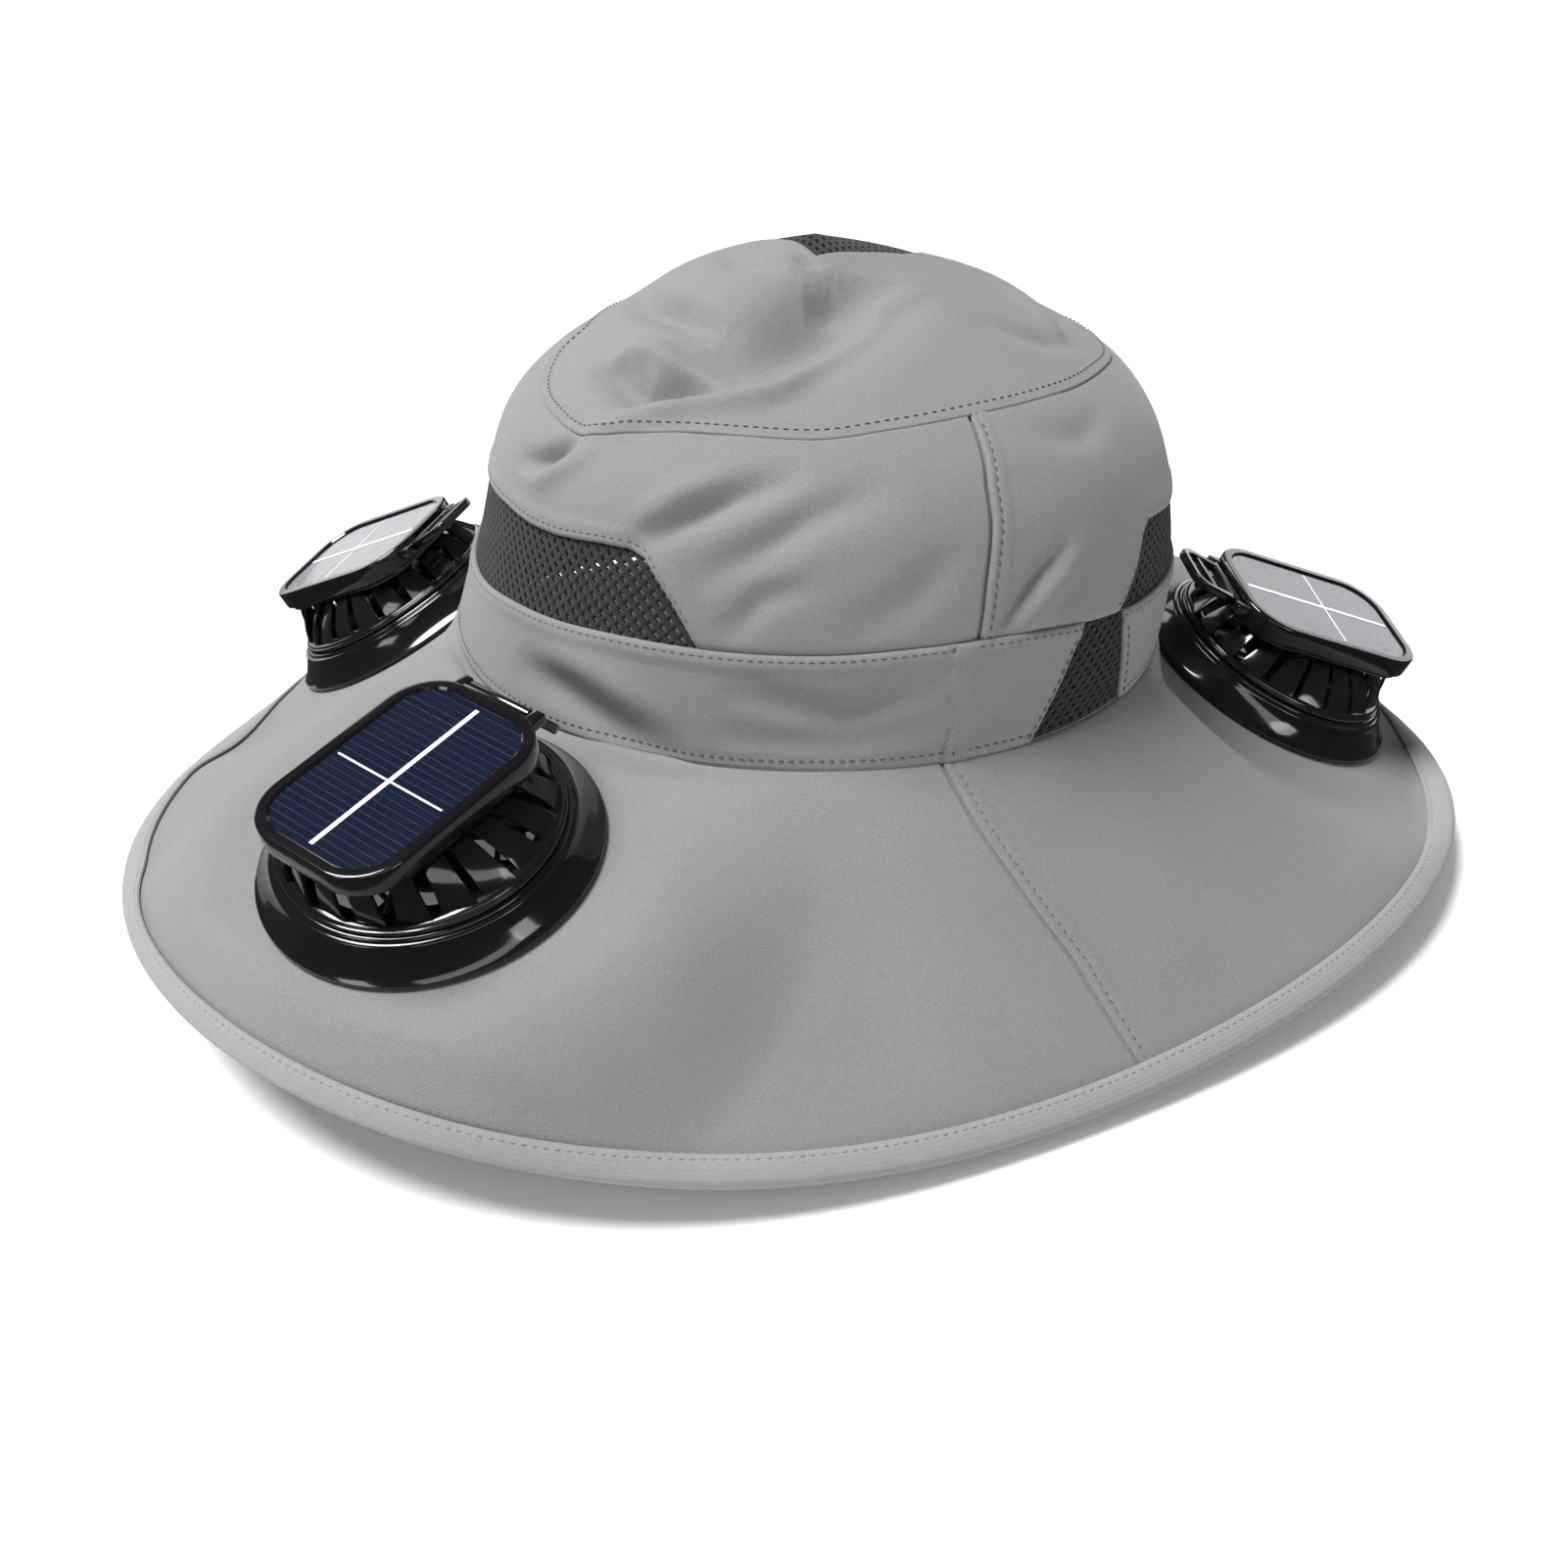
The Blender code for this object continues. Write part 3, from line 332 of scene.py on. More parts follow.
def brimPoint(azimuth, share):
    # the brim's upper face at a share of its width, flat under the fans and at the hem
    azimuth, share = (side.ravel() for side in np.broadcast_arrays(np.asarray(azimuth, float), share))
    inside = np.minimum(share, brim["hem"])[:, None]
    edge = brimEdge(azimuth)
    points = crownBase(azimuth, 0.0) * (1 - inside) + edge * inside
    ends = smoothStep(inside[:, 0] / 0.04)
    flatHold = np.zeros(len(points))
    for turn in fanFrames.values():
        seat, normal = np.array(turn.translation), np.array(turn.col[2].xyz)
        rel = points - seat
        away = np.linalg.norm(rel - (rel @ normal)[:, None] * normal, axis=1)
        hold = fallPast(away, brim["flatRadius"], brim["flatFade"])
        flat = seat[2] - (rel[:, 0] * normal[0] + rel[:, 1] * normal[1]) / normal[2]
        points[:, 2] += (flat - points[:, 2]) * hold * ends
        flatHold = np.maximum(flatHold, fallPast(away, brim["flatRadius"] - 8 * mm, 12 * mm))
    rise = -foldDepths(points * (1, 1, 0), brimLines, 0.3)
    rise *= (1 - flatHold) * smoothStep(inside[:, 0] / 0.15) * smoothStep((brim["hem"] - inside[:, 0]) / 0.2)
    points[:, 2] += rise
    past = np.clip((share - brim["hem"]) / (1 - brim["hem"]), 0, 1)[:, None]
    return points * (1 - past) + edge * past


def brimFoldLine(path):
    # the fold's line in plan, on the brim before its waves
    azimuths, shares = pathStops(path)
    shares = shares[:, None]
    return (crownBase(azimuths, 0.0) * (1 - shares) + brimEdge(azimuths) * shares) * (1, 1, 0)


brimLines = [(brimFoldLine(path), width, depth) for path, width, depth in brimFolds]
print("shape tables ready")


# Finishes
def newFinish(name):
    finish = bpy.data.materials.new(name)
    finish.use_nodes = True
    tree = finish.node_tree
    return finish, tree, tree.nodes["Principled BSDF"]


def setInputs(tree, node, inputs):
    for key, value in inputs.items():
        if hasattr(value, "is_output"):
            tree.links.new(value, node.inputs[key])
        else:
            node.inputs[key].default_value = value


def addNode(tree, kind, inputs=None, **settings):
    node = tree.nodes.new(kind)
    for key, value in settings.items():
        setattr(node, key, value)
    setInputs(tree, node, inputs or {})
    return node


def mathNode(tree, operation, a, b=0.0):
    return addNode(tree, "ShaderNodeMath", {0: a, 1: b}, operation=operation).outputs[0]


def times(tree, a, b):
    return mathNode(tree, "MULTIPLY", a, b)


def plus(tree, a, b):
    return mathNode(tree, "ADD", a, b)


def noise(tree, inputs, **settings):
    return addNode(tree, "ShaderNodeTexNoise", inputs, **settings).outputs[0]


def bumpNode(tree, height, strength, depth):
    inputs = {"Height": height, "Strength": strength, "Distance": depth}
    return addNode(tree, "ShaderNodeBump", inputs).outputs[0]


def mixColour(tree, share, a, b):
    return addNode(tree, "ShaderNodeMix", {0: share, 6: a, 7: b}, data_type="RGBA").outputs[2]


def weavePlace(tree):
    # the piece's own UV map in metres, whole and split, and its place in space
    uv = addNode(tree, "ShaderNodeUVMap", uv_map="weave").outputs[0]
    split = addNode(tree, "ShaderNodeSeparateXYZ", {0: uv})
    return uv, split, addNode(tree, "ShaderNodeTexCoord").outputs["Object"]


def clothFinish(name, settings):
    # woven threads with a fine grain and slow colour drift
    finish, tree, shader = newFinish(name)
    uv, split, place = weavePlace(tree)
    pace = math.pi / settings["thread"]
    warp, weft = (mathNode(tree, "SINE", times(tree, split.outputs[k], pace)) for k in (0, 1))
    weave = mathNode(tree, "ABSOLUTE", times(tree, warp, weft))
    grain = noise(tree, {"Vector": place, "Scale": settings["grain"], "Detail": 3.0, "Roughness": 0.7})
    drift = noise(tree, {"Vector": place, "Scale": 28.0, "Detail": 4.0})
    tone = 0.5 - 0.5 * (settings["weaveTone"] + settings["grainTone"] + settings["driftTone"])
    for part, key in ((weave, "weaveTone"), (grain, "grainTone"), (drift, "driftTone")):
        tone = plus(tree, tone, times(tree, part, settings[key]))
    height = plus(tree, weave, times(tree, grain, 0.8))
    setInputs(tree, shader, {
        "Base Color": mixColour(tree, tone, settings["dark"], settings["light"]),
        "Normal": bumpNode(tree, height, settings["bump"], 0.12 * mm),
        "Roughness": plus(tree, times(tree, grain, 0.12), settings["roughness"] - 0.06),
        "Sheen Weight": settings["sheen"],
        "Sheen Roughness": 0.5,
        "Specular IOR Level": 0.35,
    })
    return finish


def glossFinish(name, settings):
    # moulded plastic: faint flow marks and dust in the roughness, fine scuffs in the bump
    finish, tree, shader = newFinish(name)
    place = addNode(tree, "ShaderNodeTexCoord").outputs["Object"]
    cloudy = noise(tree, {"Vector": place, "Scale": 60.0, "Detail": 5.0})
    scuff = noise(tree, {"Vector": place, "Scale": 900.0, "Detail": 2.0})
    setInputs(tree, shader, {
        "Base Color": mixColour(tree, cloudy, settings["dark"], settings["light"]),
        "Roughness": plus(tree, times(tree, cloudy, 0.08), settings["roughness"] - 0.04),
        "Normal": bumpNode(tree, scuff, settings["bump"], 0.05 * mm),
        "Coat Weight": settings["coat"],
        "Coat Roughness": 0.04,
    })
    return finish


def cellFinish(name, settings):
    # dark blue silicon with fine printed fingers across the cell, under a clear cover
    finish, tree, shader = newFinish(name)
    uv, split, place = weavePlace(tree)
    along = split.outputs[0]
    pace = mathNode(tree, "FRACT", times(tree, along, 1.0 / settings["finger"]))
    finger = mathNode(tree, "GREATER_THAN", pace, 1.0 - settings["fingerShare"])
    streak = noise(tree, {"Vector": uv, "Scale": 420.0, "Detail": 2.0})
    row = noise(tree, {"W": times(tree, along, 700.0), "Scale": 1.0, "Detail": 0.0}, noise_dimensions="1D")
    uneven = noise(tree, {"W": times(tree, along, 260.0), "Scale": 1.0, "Detail": 1.0}, noise_dimensions="1D")
    share = times(tree, finger, times(tree, streak, times(tree, uneven, 2.2)))
    blue = mixColour(tree, row, settings["dark"], settings["light"])
    cloudy = noise(tree, {"Vector": place, "Scale": 90.0, "Detail": 3.0})
    setInputs(tree, shader, {
        "Base Color": mixColour(tree, share, blue, settings["line"]),
        "Roughness": plus(tree, times(tree, cloudy, 0.1), 0.22),
        "Specular IOR Level": 0.1,      # the silicon is dull, its cover isn't
        "Coat Weight": 1.0,
        "Coat Roughness": 0.03,
        "Coat IOR": 1.75,
    })
    return finish


clothGrey = {"thread": 0.42 * mm, "grain": 2300.0, "weaveTone": 0.10, "grainTone": 1.1, "driftTone": 0.25,
             "bump": 0.22, "dark": (0.105, 0.107, 0.111, 1), "light": (0.235, 0.238, 0.244, 1),
             "roughness": 0.82, "sheen": 0.12}
tapeGrey = {"thread": 0.55 * mm, "dark": (0.175, 0.174, 0.170, 1), "light": (0.285, 0.283, 0.277, 1),
            "bump": 0.5}
meshBlack = {"thread": 0.5 * mm, "dark": (0.006, 0.0062, 0.0065, 1), "light": (0.018, 0.0185, 0.019, 1),
             "bump": 0.7, "sheen": 0.1}
# seam thread darker than the cloth: its own grey plus painted shade standing in for the shadow in the gaps
# between stitches
threadGreyAndPaintedShade = {"thread": 0.3 * mm, "dark": (0.045, 0.046, 0.048, 1), "light": (0.100, 0.102, 0.105, 1),
              "bump": 0.4}
shellBlack = {"dark": (0.003, 0.003, 0.0035, 1), "light": (0.007, 0.007, 0.008, 1), "roughness": 0.11,
              "bump": 0.02, "coat": 0.25}
innerBlack = {"dark": (0.008, 0.008, 0.009, 1), "light": (0.018, 0.018, 0.019, 1), "roughness": 0.38,
              "bump": 0.08, "coat": 0.0}
cellBlue = {"finger": 1.9 * mm, "fingerShare": 0.09, "dark": (0.0006, 0.0020, 0.0080, 1),
            "light": (0.0010, 0.0055, 0.0240, 1), "line": (0.03, 0.05, 0.10, 1)}
barSilver = {"dark": (0.62, 0.63, 0.65, 1), "light": (0.85, 0.86, 0.88, 1), "roughness": 0.35, "bump": 0.05,
             "coat": 0.3}
finishes = {
    "cloth": clothFinish("grey_cloth_dressed", clothGrey),
    "tape": clothFinish("binding_tape", {**clothGrey, **tapeGrey}),
    "mesh": clothFinish("vent_mesh_knit", {**clothGrey, **meshBlack}),
    "thread": clothFinish("sewing_thread_with_painted_shade", {**clothGrey, **threadGreyAndPaintedShade}),
    "plastic": glossFinish("black_plastic_gloss", shellBlack),
    "inner": glossFinish("black_plastic_satin", innerBlack),
    "cell": cellFinish("solar_cell_blue", cellBlue),
    "silver": glossFinish("printed_silver", barSilver),
}
print("finishes ready")


# Making pieces
def linked(name, data):
    item = bpy.data.objects.new(name, data)
    bpy.context.scene.collection.objects.link(item)
    return item


def finishPiece(name, bm, finish, sharp=None):
    mesh = bpy.data.meshes.new(name)
    bm.to_mesh(mesh)
    bm.free()
    piece = linked(name, mesh)
    mesh.materials.append(finish)
    mesh.shade_smooth()
    if sharp:
        mesh.set_sharp_from_angle(angle=math.radians(sharp))
    return piece


def bevelled(bm, geom, affect, width, segments, clamp=False):
    bmesh.ops.bevel(bm, geom=geom, affect=affect, offset=width, offset_type="OFFSET", segments=segments,
                    profile=0.5, material=-1, clamp_overlap=clamp)


def flatSheet(length, width):
    bm = bmesh.new()
    bmesh.ops.create_grid(bm, x_segments=1, y_segments=1, size=0.5)
    bmesh.ops.scale(bm, vec=(length, width, 1.0), verts=bm.verts)
    return bm


def placeGrid(across, up, place, closed=False):
    # a grid whose points a function sets from two shares; it returns points and UVs in metres
    bm = bmesh.new()
    bmesh.ops.create_grid(bm, x_segments=across, y_segments=up, size=0.5)
    shares = np.array([v.co[:2] for v in bm.verts]) + 0.5
    points, weave = place(shares[:, 0], shares[:, 1])
    layer = bm.loops.layers.uv.new("weave")
    for k, vert in enumerate(bm.verts):
        vert.co = points[k]
        for loop in vert.link_loops:
            loop[layer].uv = weave[k]
    if closed:
        bmesh.ops.remove_doubles(bm, verts=bm.verts, dist=0.02 * mm)
    return bm


def thicken(piece, thickness):
    # the cloth's wall, laid inwards from its outer face
    wall = piece.modifiers.new("Cloth", "SOLIDIFY")
    wall.thickness = thickness
    wall.offset = -1.0
    wall.use_even_offset = True
    wall.use_rim = True
    return piece


def seamTuck(gap, tuck=0.55 * mm, channel=0.22 * mm, at=1.5 * mm):
    # how far cloth turns in at a seam, with the shallow channel its stitches pull
    return tuck * np.exp(-(gap / (0.55 * mm))**2) + channel * np.exp(-((gap - at) / (0.5 * mm))**2)


# Upright seams of the wall and the band: share up, azimuth
wallSeam = [(0.0, 21.6), (0.03, 21.7), (0.26, 22.8), (0.52, 24.7), (0.69, 25.3), (1.0, 28.3)]
bandSeam = [(0.0, 19.1), (0.11, 19.1), (0.31, 19.3), (0.70, 17.4), (1.0, 17.8)]
# degrees tucked under, their depth, and how closely the columns crowd at the seam
seamLap = {"under": 0.75, "sunk": 1.0 * mm, "crowd": 0.86}


def crowded(share):
    # shares that stand closer together at both ends, where the seam is
    return share - seamLap["crowd"] * np.sin(2 * math.pi * share) / (2 * math.pi)


def seamRelief(after, before):
    # depth by the distance past a seam and the distance to it: one side folded, the other tucked under it
    folded = seamTuck(after, 0.50 * mm, 0.20 * mm, 2.2 * mm) - 0.22 * mm * fallPast(after, 4 * mm, 2 * mm)
    under = seamLap["sunk"] * fallPast(before, 0.1 * mm, 1.3 * mm)
    return folded + np.where(before < 6 * mm, under, 0.0)


def wallLow(azimuth):
    vents = np.maximum(ventLevel(leftVent, azimuth), ventLevel(rightVent, azimuth))
    return np.maximum(levelAt(bandEdge, azimuth), vents)


def clothWeave(azimuth, points):
    return np.stack([np.radians(azimuth) * crown["radius"], points[:, 2]], 1)


def buildWall():
    seam = np.array(wallSeam)
    arc = math.radians(1) * crown["radius"] * 0.93

    def place(u, v):
        turned = crowded(u) * (360.0 + seamLap["under"])
        azimuth = np.interp(v, seam[:, 0], seam[:, 1]) + turned
        bottom, top = wallLow(azimuth), levelAt(tipEdge, azimuth) + 0.012
        level = bottom + (top - bottom) * v
        here = crownBase(azimuth, level)
        gapLow, gapHigh = apart(here, crownBase(azimuth, bottom)), apart(here, crownBase(azimuth, top))
        sunk = seamRelief(turned * arc, (360.0 - turned) * arc)
        ventHem = np.where(bottom > levelAt(bandEdge, azimuth) + 0.01, 1.0, 0.0)
        sunk -= 0.30 * mm * ventHem * fallPast(gapLow, 3.6 * mm, 1.2 * mm)
        sunk += ventHem * seamTuck(gapLow, 0.45 * mm)
        sunk += 0.35 * mm * np.exp(-(gapLow / (0.9 * mm))**2) * (1 - ventHem)
        sunk += 1.0 * mm * fallPast(gapHigh, 0.9 * mm, 1.4 * mm)
        points = crownPoint(azimuth, level, sunk)
        return points, clothWeave(azimuth, points)

    bm = placeGrid(440, 32, place)
    piece = thicken(finishPiece("cloth_crown_wall", bm, finishes["cloth"]), crown["cloth"] * 0.8)
    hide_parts("crown_wall")
    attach(piece, "hat")


def rearCuts():
    # upright planes along the rear vent's sides: a point and a normal that looks away from the vent
    corners = [Vector((*rearVent[key], 0.0)) * mm for key in
               ("backLeft", "cornerLeft", "front", "cornerRight", "backRight")]
    cuts = []
    for start, end in zip(corners, corners[1:]):
        side = (end - start).normalized()
        cuts.append((start, Vector((side.y, -side.x, 0.0))))
    return cuts


def insideRear(point, margin=0.0):
    # the vent is on the back of all four planes
    return all((point - co).dot(no) < margin for co, no in rearCuts())


def buildTip():
    def place(u, v):
        azimuth = -180.0 + 360.0 * u
        bottom = levelAt(tipEdge, azimuth) - 0.003
        level = bottom + (1.0 - bottom) * (0.75 * v + 0.25 * v**2)
        gap = apart(crownBase(azimuth, level), crownBase(azimuth, bottom))
        hem = -0.28 * mm * fallPast(gap, 2.2 * mm, 1.0 * mm)
        points = crownPoint(azimuth, level, hem + seamTuck(gap, 0.22 * mm, 0.22 * mm, 1.4 * mm))
        return points, points[:, :2]

    bm = placeGrid(420, 64, place, True)
    near = [f for f in bm.faces if f.calc_center_median().y > -0.02]
    for co, no in rearCuts():
        verts = dict.fromkeys(v for f in near for v in f.verts)
        edges = dict.fromkeys(e for f in near for e in f.edges)
        cut = bmesh.ops.bisect_plane(bm, geom=[*verts, *edges, *near], dist=0.01 * mm, plane_co=co,
                                     plane_no=no)
        near = [f for f in cut["geom"] if isinstance(f, bmesh.types.BMFace)]
    away = []
    for face in bm.faces:
        middle = face.calc_center_median()
        middle.z = 0.0
        if insideRear(middle, -0.01 * mm):
            away.append(face)
    bmesh.ops.delete(bm, geom=away, context="FACES")
    piece = thicken(finishPiece("cloth_crown_tip", bm, finishes["cloth"]), crown["cloth"])
    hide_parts("crown_tip")
    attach(piece, "hat")


def bandVentSides(share):
    # azimuths of the window's left and right edges at a share of the band's height
    left, right = (bandVent["low" + side] + (bandVent["top" + side] - bandVent["low" + side]) * share
                   for side in ("From", "To"))
    return left, right


def buildBand():
    seam = np.array(bandSeam)
    arc = math.radians(1) * crown["radius"]

    def place(u, v):
        left, right = bandVentSides(v)
        azimuth = right + (left + 360.0 - right) * crowded(u)
        top = levelAt(bandEdge, azimuth)
        level = top * v
        here = crownBase(azimuth, level)
        gapLow, gapHigh = apart(here, crownBase(azimuth, 0.0)), apart(here, crownBase(azimuth, top))
        gapSide = np.minimum(azimuth - right, left + 360.0 - azimuth) * arc
        beside = (azimuth - 360.0 - np.interp(v, seam[:, 0], seam[:, 1])) * arc
        sunk = -0.45 * mm * fallPast(gapHigh, 3.0 * mm, 1.5 * mm)
        sunk += seamTuck(gapHigh, 0.3 * mm, 0.25 * mm, 1.3 * mm)
        sunk += seamTuck(gapLow, 0.35 * mm, 0.30 * mm, 2.3 * mm)
        sunk += seamTuck(gapSide, 0.35 * mm, 0.2 * mm) + 0.5 * mm * np.exp(-(beside / (0.45 * mm))**2)
        sunk -= 0.35 * mm * np.where(beside > 0, fallPast(beside, 5 * mm, 2 * mm), 0.0)
        points = crownPoint(azimuth, level, sunk)
        return points, clothWeave(azimuth, points)

    bm = placeGrid(400, 24, place)
    piece = thicken(finishPiece("cloth_hat_band", bm, finishes["cloth"]), crown["cloth"])
    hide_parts("hat_band")
    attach(piece, "hat")


# Mesh vents: a grid in real millimetres, its alternate corners opened into round holes
ventKnit = {
    "pitch": 1.60 * mm,
    "hole": 0.98 * mm,
    "thickness": 0.7 * mm,
    "sunk": 0.75 * mm,
    "perLevel": 0.103,      # metres up the wall for one level
    "margin": 0.026,
}


def knitCell(point):
    # a place's nearest crossing of the grid, in columns and rows
    return round(point.x / ventKnit["pitch"]), round(point.y / ventKnit["pitch"])


def openHoles(bm):
    corners = [v for v in bm.verts if sum(knitCell(v.co)) % 2 == 0 and not v.is_boundary]
    taken = {knitCell(v.co) for v in corners}
    bevelled(bm, corners, "VERTICES", ventKnit["hole"], 3)
    holes = []
    for face in bm.faces:
        middle = face.calc_center_median()
        key = knitCell(middle)
        off = (middle - Vector((*key, 0.0)) * ventKnit["pitch"]).length
        if key in taken and off < 0.45 * ventKnit["pitch"]:
            holes.append(face)
    bmesh.ops.delete(bm, geom=holes, context="FACES")


def ventGrid(width, height):
    columns, rows = max(2, round(width / ventKnit["pitch"])), max(2, round(height / ventKnit["pitch"]))
    bm = bmesh.new()
    bmesh.ops.create_grid(bm, x_segments=columns, y_segments=rows, size=0.5)
    bmesh.ops.translate(bm, vec=(0.5, 0.5, 0.0), verts=bm.verts)
    bmesh.ops.scale(bm, vec=(columns * ventKnit["pitch"], rows * ventKnit["pitch"], 1.0), verts=bm.verts)
    openHoles(bm)
    return bm


def mapVent(name, bm, place, keep, node):
    flat = np.array([v.co[:2] for v in bm.verts])
    points = place(flat[:, 0], flat[:, 1])
    layer = bm.loops.layers.uv.new("weave")
    for k, vert in enumerate(bm.verts):
        for loop in vert.link_loops:
            loop[layer].uv = flat[k]
    middles = np.array([f.calc_center_median()[:2] for f in bm.faces])
    kept = keep(middles[:, 0], middles[:, 1])
    away = [f for k, f in enumerate(bm.faces) if not kept[k]]
    for k, vert in enumerate(bm.verts):
        vert.co = points[k]
    bmesh.ops.delete(bm, geom=away, context="FACES")
    piece = thicken(finishPiece(name, bm, finishes["mesh"]), ventKnit["thickness"])
    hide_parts(node)
    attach(piece, "hat")


def wallVent(name, node, start, base, size, arcShare, sunk, kept):
    # a vent on the crown's wall from an azimuth and a level; its size is in degrees and levels
    perDegree = math.radians(1) * crown["radius"] * arcShare

    def spot(x, y):
        return start + x / perDegree, base + y / ventKnit["perLevel"]

    def place(x, y):
        return crownPoint(*spot(x, y), sunk)

    def keep(x, y):
        return kept(*spot(x, y))

    mapVent(name, ventGrid(size[0] * perDegree, size[1] * ventKnit["perLevel"]), place, keep, node)


def buildSideVent(name, node, vent):
    start, end = vent[0][0], vent[-1][0]

    def kept(azimuth, level):
        top = np.maximum(ventLevel(vent, azimuth - 1.0), ventLevel(vent, azimuth + 1.0))
        return (level > levelAt(bandEdge, azimuth) - ventKnit["margin"]) & (level < top + ventKnit["margin"])

    wallVent(name, node, start, 0.13, (end - start, 0.30), 0.96, ventKnit["sunk"], kept)


def buildBandVent():
    def kept(azimuth, level):
        left, right = bandVentSides(np.clip(level / levelAt(bandEdge, azimuth), 0, 1))
        return (azimuth > left - 2.0) & (azimuth < right + 2.0) & (level < 0.250)

    wallVent("mesh_vent_band_knit", "mesh_vent_band", 29.5, 0.004, (26.0, 0.25), 0.99,
             ventKnit["sunk"] + 0.35 * mm, kept)


def crownAtPlan(x, y):
    # azimuth and level of plan points on the upper crown
    low, high = np.full_like(x, 0.5), np.full_like(x, 1.0)
    for _ in range(30):
        level = (low + high) / 2
        height, radius, oval, right, back = curveAt(crown["sections"], level)
        dx = x - crown["axis"][0] - right * crown["radius"]
        dy = y - crown["axis"][1] - back * crown["radius"]
        azimuth = np.degrees(np.arctan2(dx, -dy))
        beyond = np.hypot(dx, dy) > crownReach(azimuth, radius, oval)
        high = np.where(beyond, level, high)
        low = np.where(beyond, low, level)
    return azimuth, level


def buildRearVent():
    left, right = rearVent["backLeft"][0] * mm - 3 * mm, rearVent["backRight"][0] * mm + 3 * mm
    front, back = rearVent["gridFront"] * mm, rearVent["gridBack"] * mm

    def place(x, y):
        azimuth, level = crownAtPlan(left + x, front + y)
        return crownPoint(azimuth, level, ventKnit["sunk"] * 0.6)

    def keep(x, y):
        azimuth, level = crownAtPlan(left + x, front + y)
        inside = [insideRear(Vector((left + a, front + b, 0.0)), 2.2 * mm) for a, b in zip(x, y)]
        return np.array(inside) & (level > levelAt(tipEdge, azimuth) - 0.025)

    mapVent("mesh_vent_rear_knit", ventGrid(right - left, back - front), place, keep, "mesh_vent_rear")


def nearHole(local, reach):
    # whether a place in a fan's frame is this near to its hole, on the brim
    return local.xy.length < reach and abs(local.z) < 20 * mm


def buildBrim():
    seam = np.array(brim["seam"])

    def place(u, v):
        share = brim["inner"] + (brim["outer"] - brim["inner"]) * v
        turned = crowded(u) * (360.0 + seamLap["under"] * 0.6)
        azimuth = np.interp(share, seam[:, 1], seam[:, 0]) + turned
        points = brimPoint(azimuth, share)
        reach = np.hypot(points[:, 0] - crown["axis"][0], points[:, 1] - crown["axis"][1])
        arc = math.radians(1) * reach
        sunk = seamRelief(turned * arc, (360.0 - turned) * arc)
        sunk += 0.25 * mm * (1 - smoothStep(share / 0.02))
        points[:, 2] -= sunk
        return points, points[:, :2]

    bm = placeGrid(640, 52, place)
    for turn in fanFrames.values():
        inward = turn.inverted()
        away = [f for f in bm.faces if nearHole(inward @ f.calc_center_median(), brim["hole"])]
        bmesh.ops.delete(bm, geom=away, context="FACES")
        for vert in bm.verts:
            local = inward @ vert.co
            if vert.is_boundary and nearHole(local, brim["hole"] + 4 * mm):
                flat = local.xy.normalized() * brim["hole"]
                vert.co = turn @ Vector((flat.x, flat.y, local.z))
    for face in bm.faces:
        if face.normal.z < 0:
            face.normal_flip()
    piece = thicken(finishPiece("cloth_brim", bm, finishes["cloth"]), crown["cloth"])
    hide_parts("brim")
    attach(piece, "hat")


binding = {"width": brim["bindingWidth"], "cloth": 0.8 * mm, "room": 0.35 * mm, "pucker": 0.06 * mm,
           "puckerPitch": 3.2 * mm, "stitchInset": 1.1 * mm}
ringAround = np.linspace(0, 360, 1441)


def bindingFrame(azimuth):
    edge, inside = brimEdge(azimuth), brimPoint(azimuth, np.full_like(azimuth, brim["hem"]))
    out = unit(edge - inside)
    beside = brimEdge(azimuth + 2.0) - brimEdge(azimuth - 2.0)
    up = unit(np.cross(out, beside))
    return edge - up * crown["cloth"] / 2, out, up


def buildBinding():
    half = crown["cloth"] / 2 + binding["room"]
    wide, wrap = binding["width"], binding["cloth"]
    # half of the folded tape's outline, from its edge along the top and round the brim's edge
    upper = [(-wide, half), (-wide, half + wrap * 0.7), (-wide + 0.3 * mm, half + wrap),
             (-wide * 0.5, half + wrap * 1.05), (-0.8 * mm, half + wrap), (0.2 * mm, half + wrap * 0.55),
             (0.75 * mm, half * 0.4)]
    inner = [(-0.5 * mm, -half), (0.0, 0.0), (-0.5 * mm, half), (-wide, half)]
    outline = np.array(upper + [(x, -y) for x, y in reversed(upper)] + inner)
    arc = np.concatenate([[0], np.cumsum(apart(brimEdge(ringAround)[1:], brimEdge(ringAround)[:-1]))])

    def place(u, v):
        azimuth = 360.0 * u
        slot = np.clip(np.round(v * (len(outline) - 1)).astype(int), 0, len(outline) - 1)
        middle, out, up = bindingFrame(azimuth)
        along = np.interp(azimuth, ringAround, arc)
        x, y = outline[slot, 0], outline[slot, 1]
        swell = binding["pucker"] * np.cos(2 * math.pi * along / binding["puckerPitch"]) * (x < -0.6 * wide)
        y = y + np.sign(y) * swell
        points = middle + out * x[:, None] + up * y[:, None]
        return points, np.stack([along, v * 0.02], 1)

    bm = placeGrid(900, len(outline) - 1, place, True)
    bmesh.ops.recalc_face_normals(bm, faces=bm.faces)
    piece = finishPiece("binding_brim_tape", bm, finishes["tape"], 50.0)
    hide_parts("brim_binding")
    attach(piece, "hat")


# Stitches: short rounded threads laid along lines on the cloth; the seams' thread is darker than the cloth,
# its own grey plus painted shade for the shadows between the stitches
stitch = {"length": 1.35 * mm, "pitch": 2.2 * mm, "radius": 0.20 * mm, "rise": 0.03 * mm}


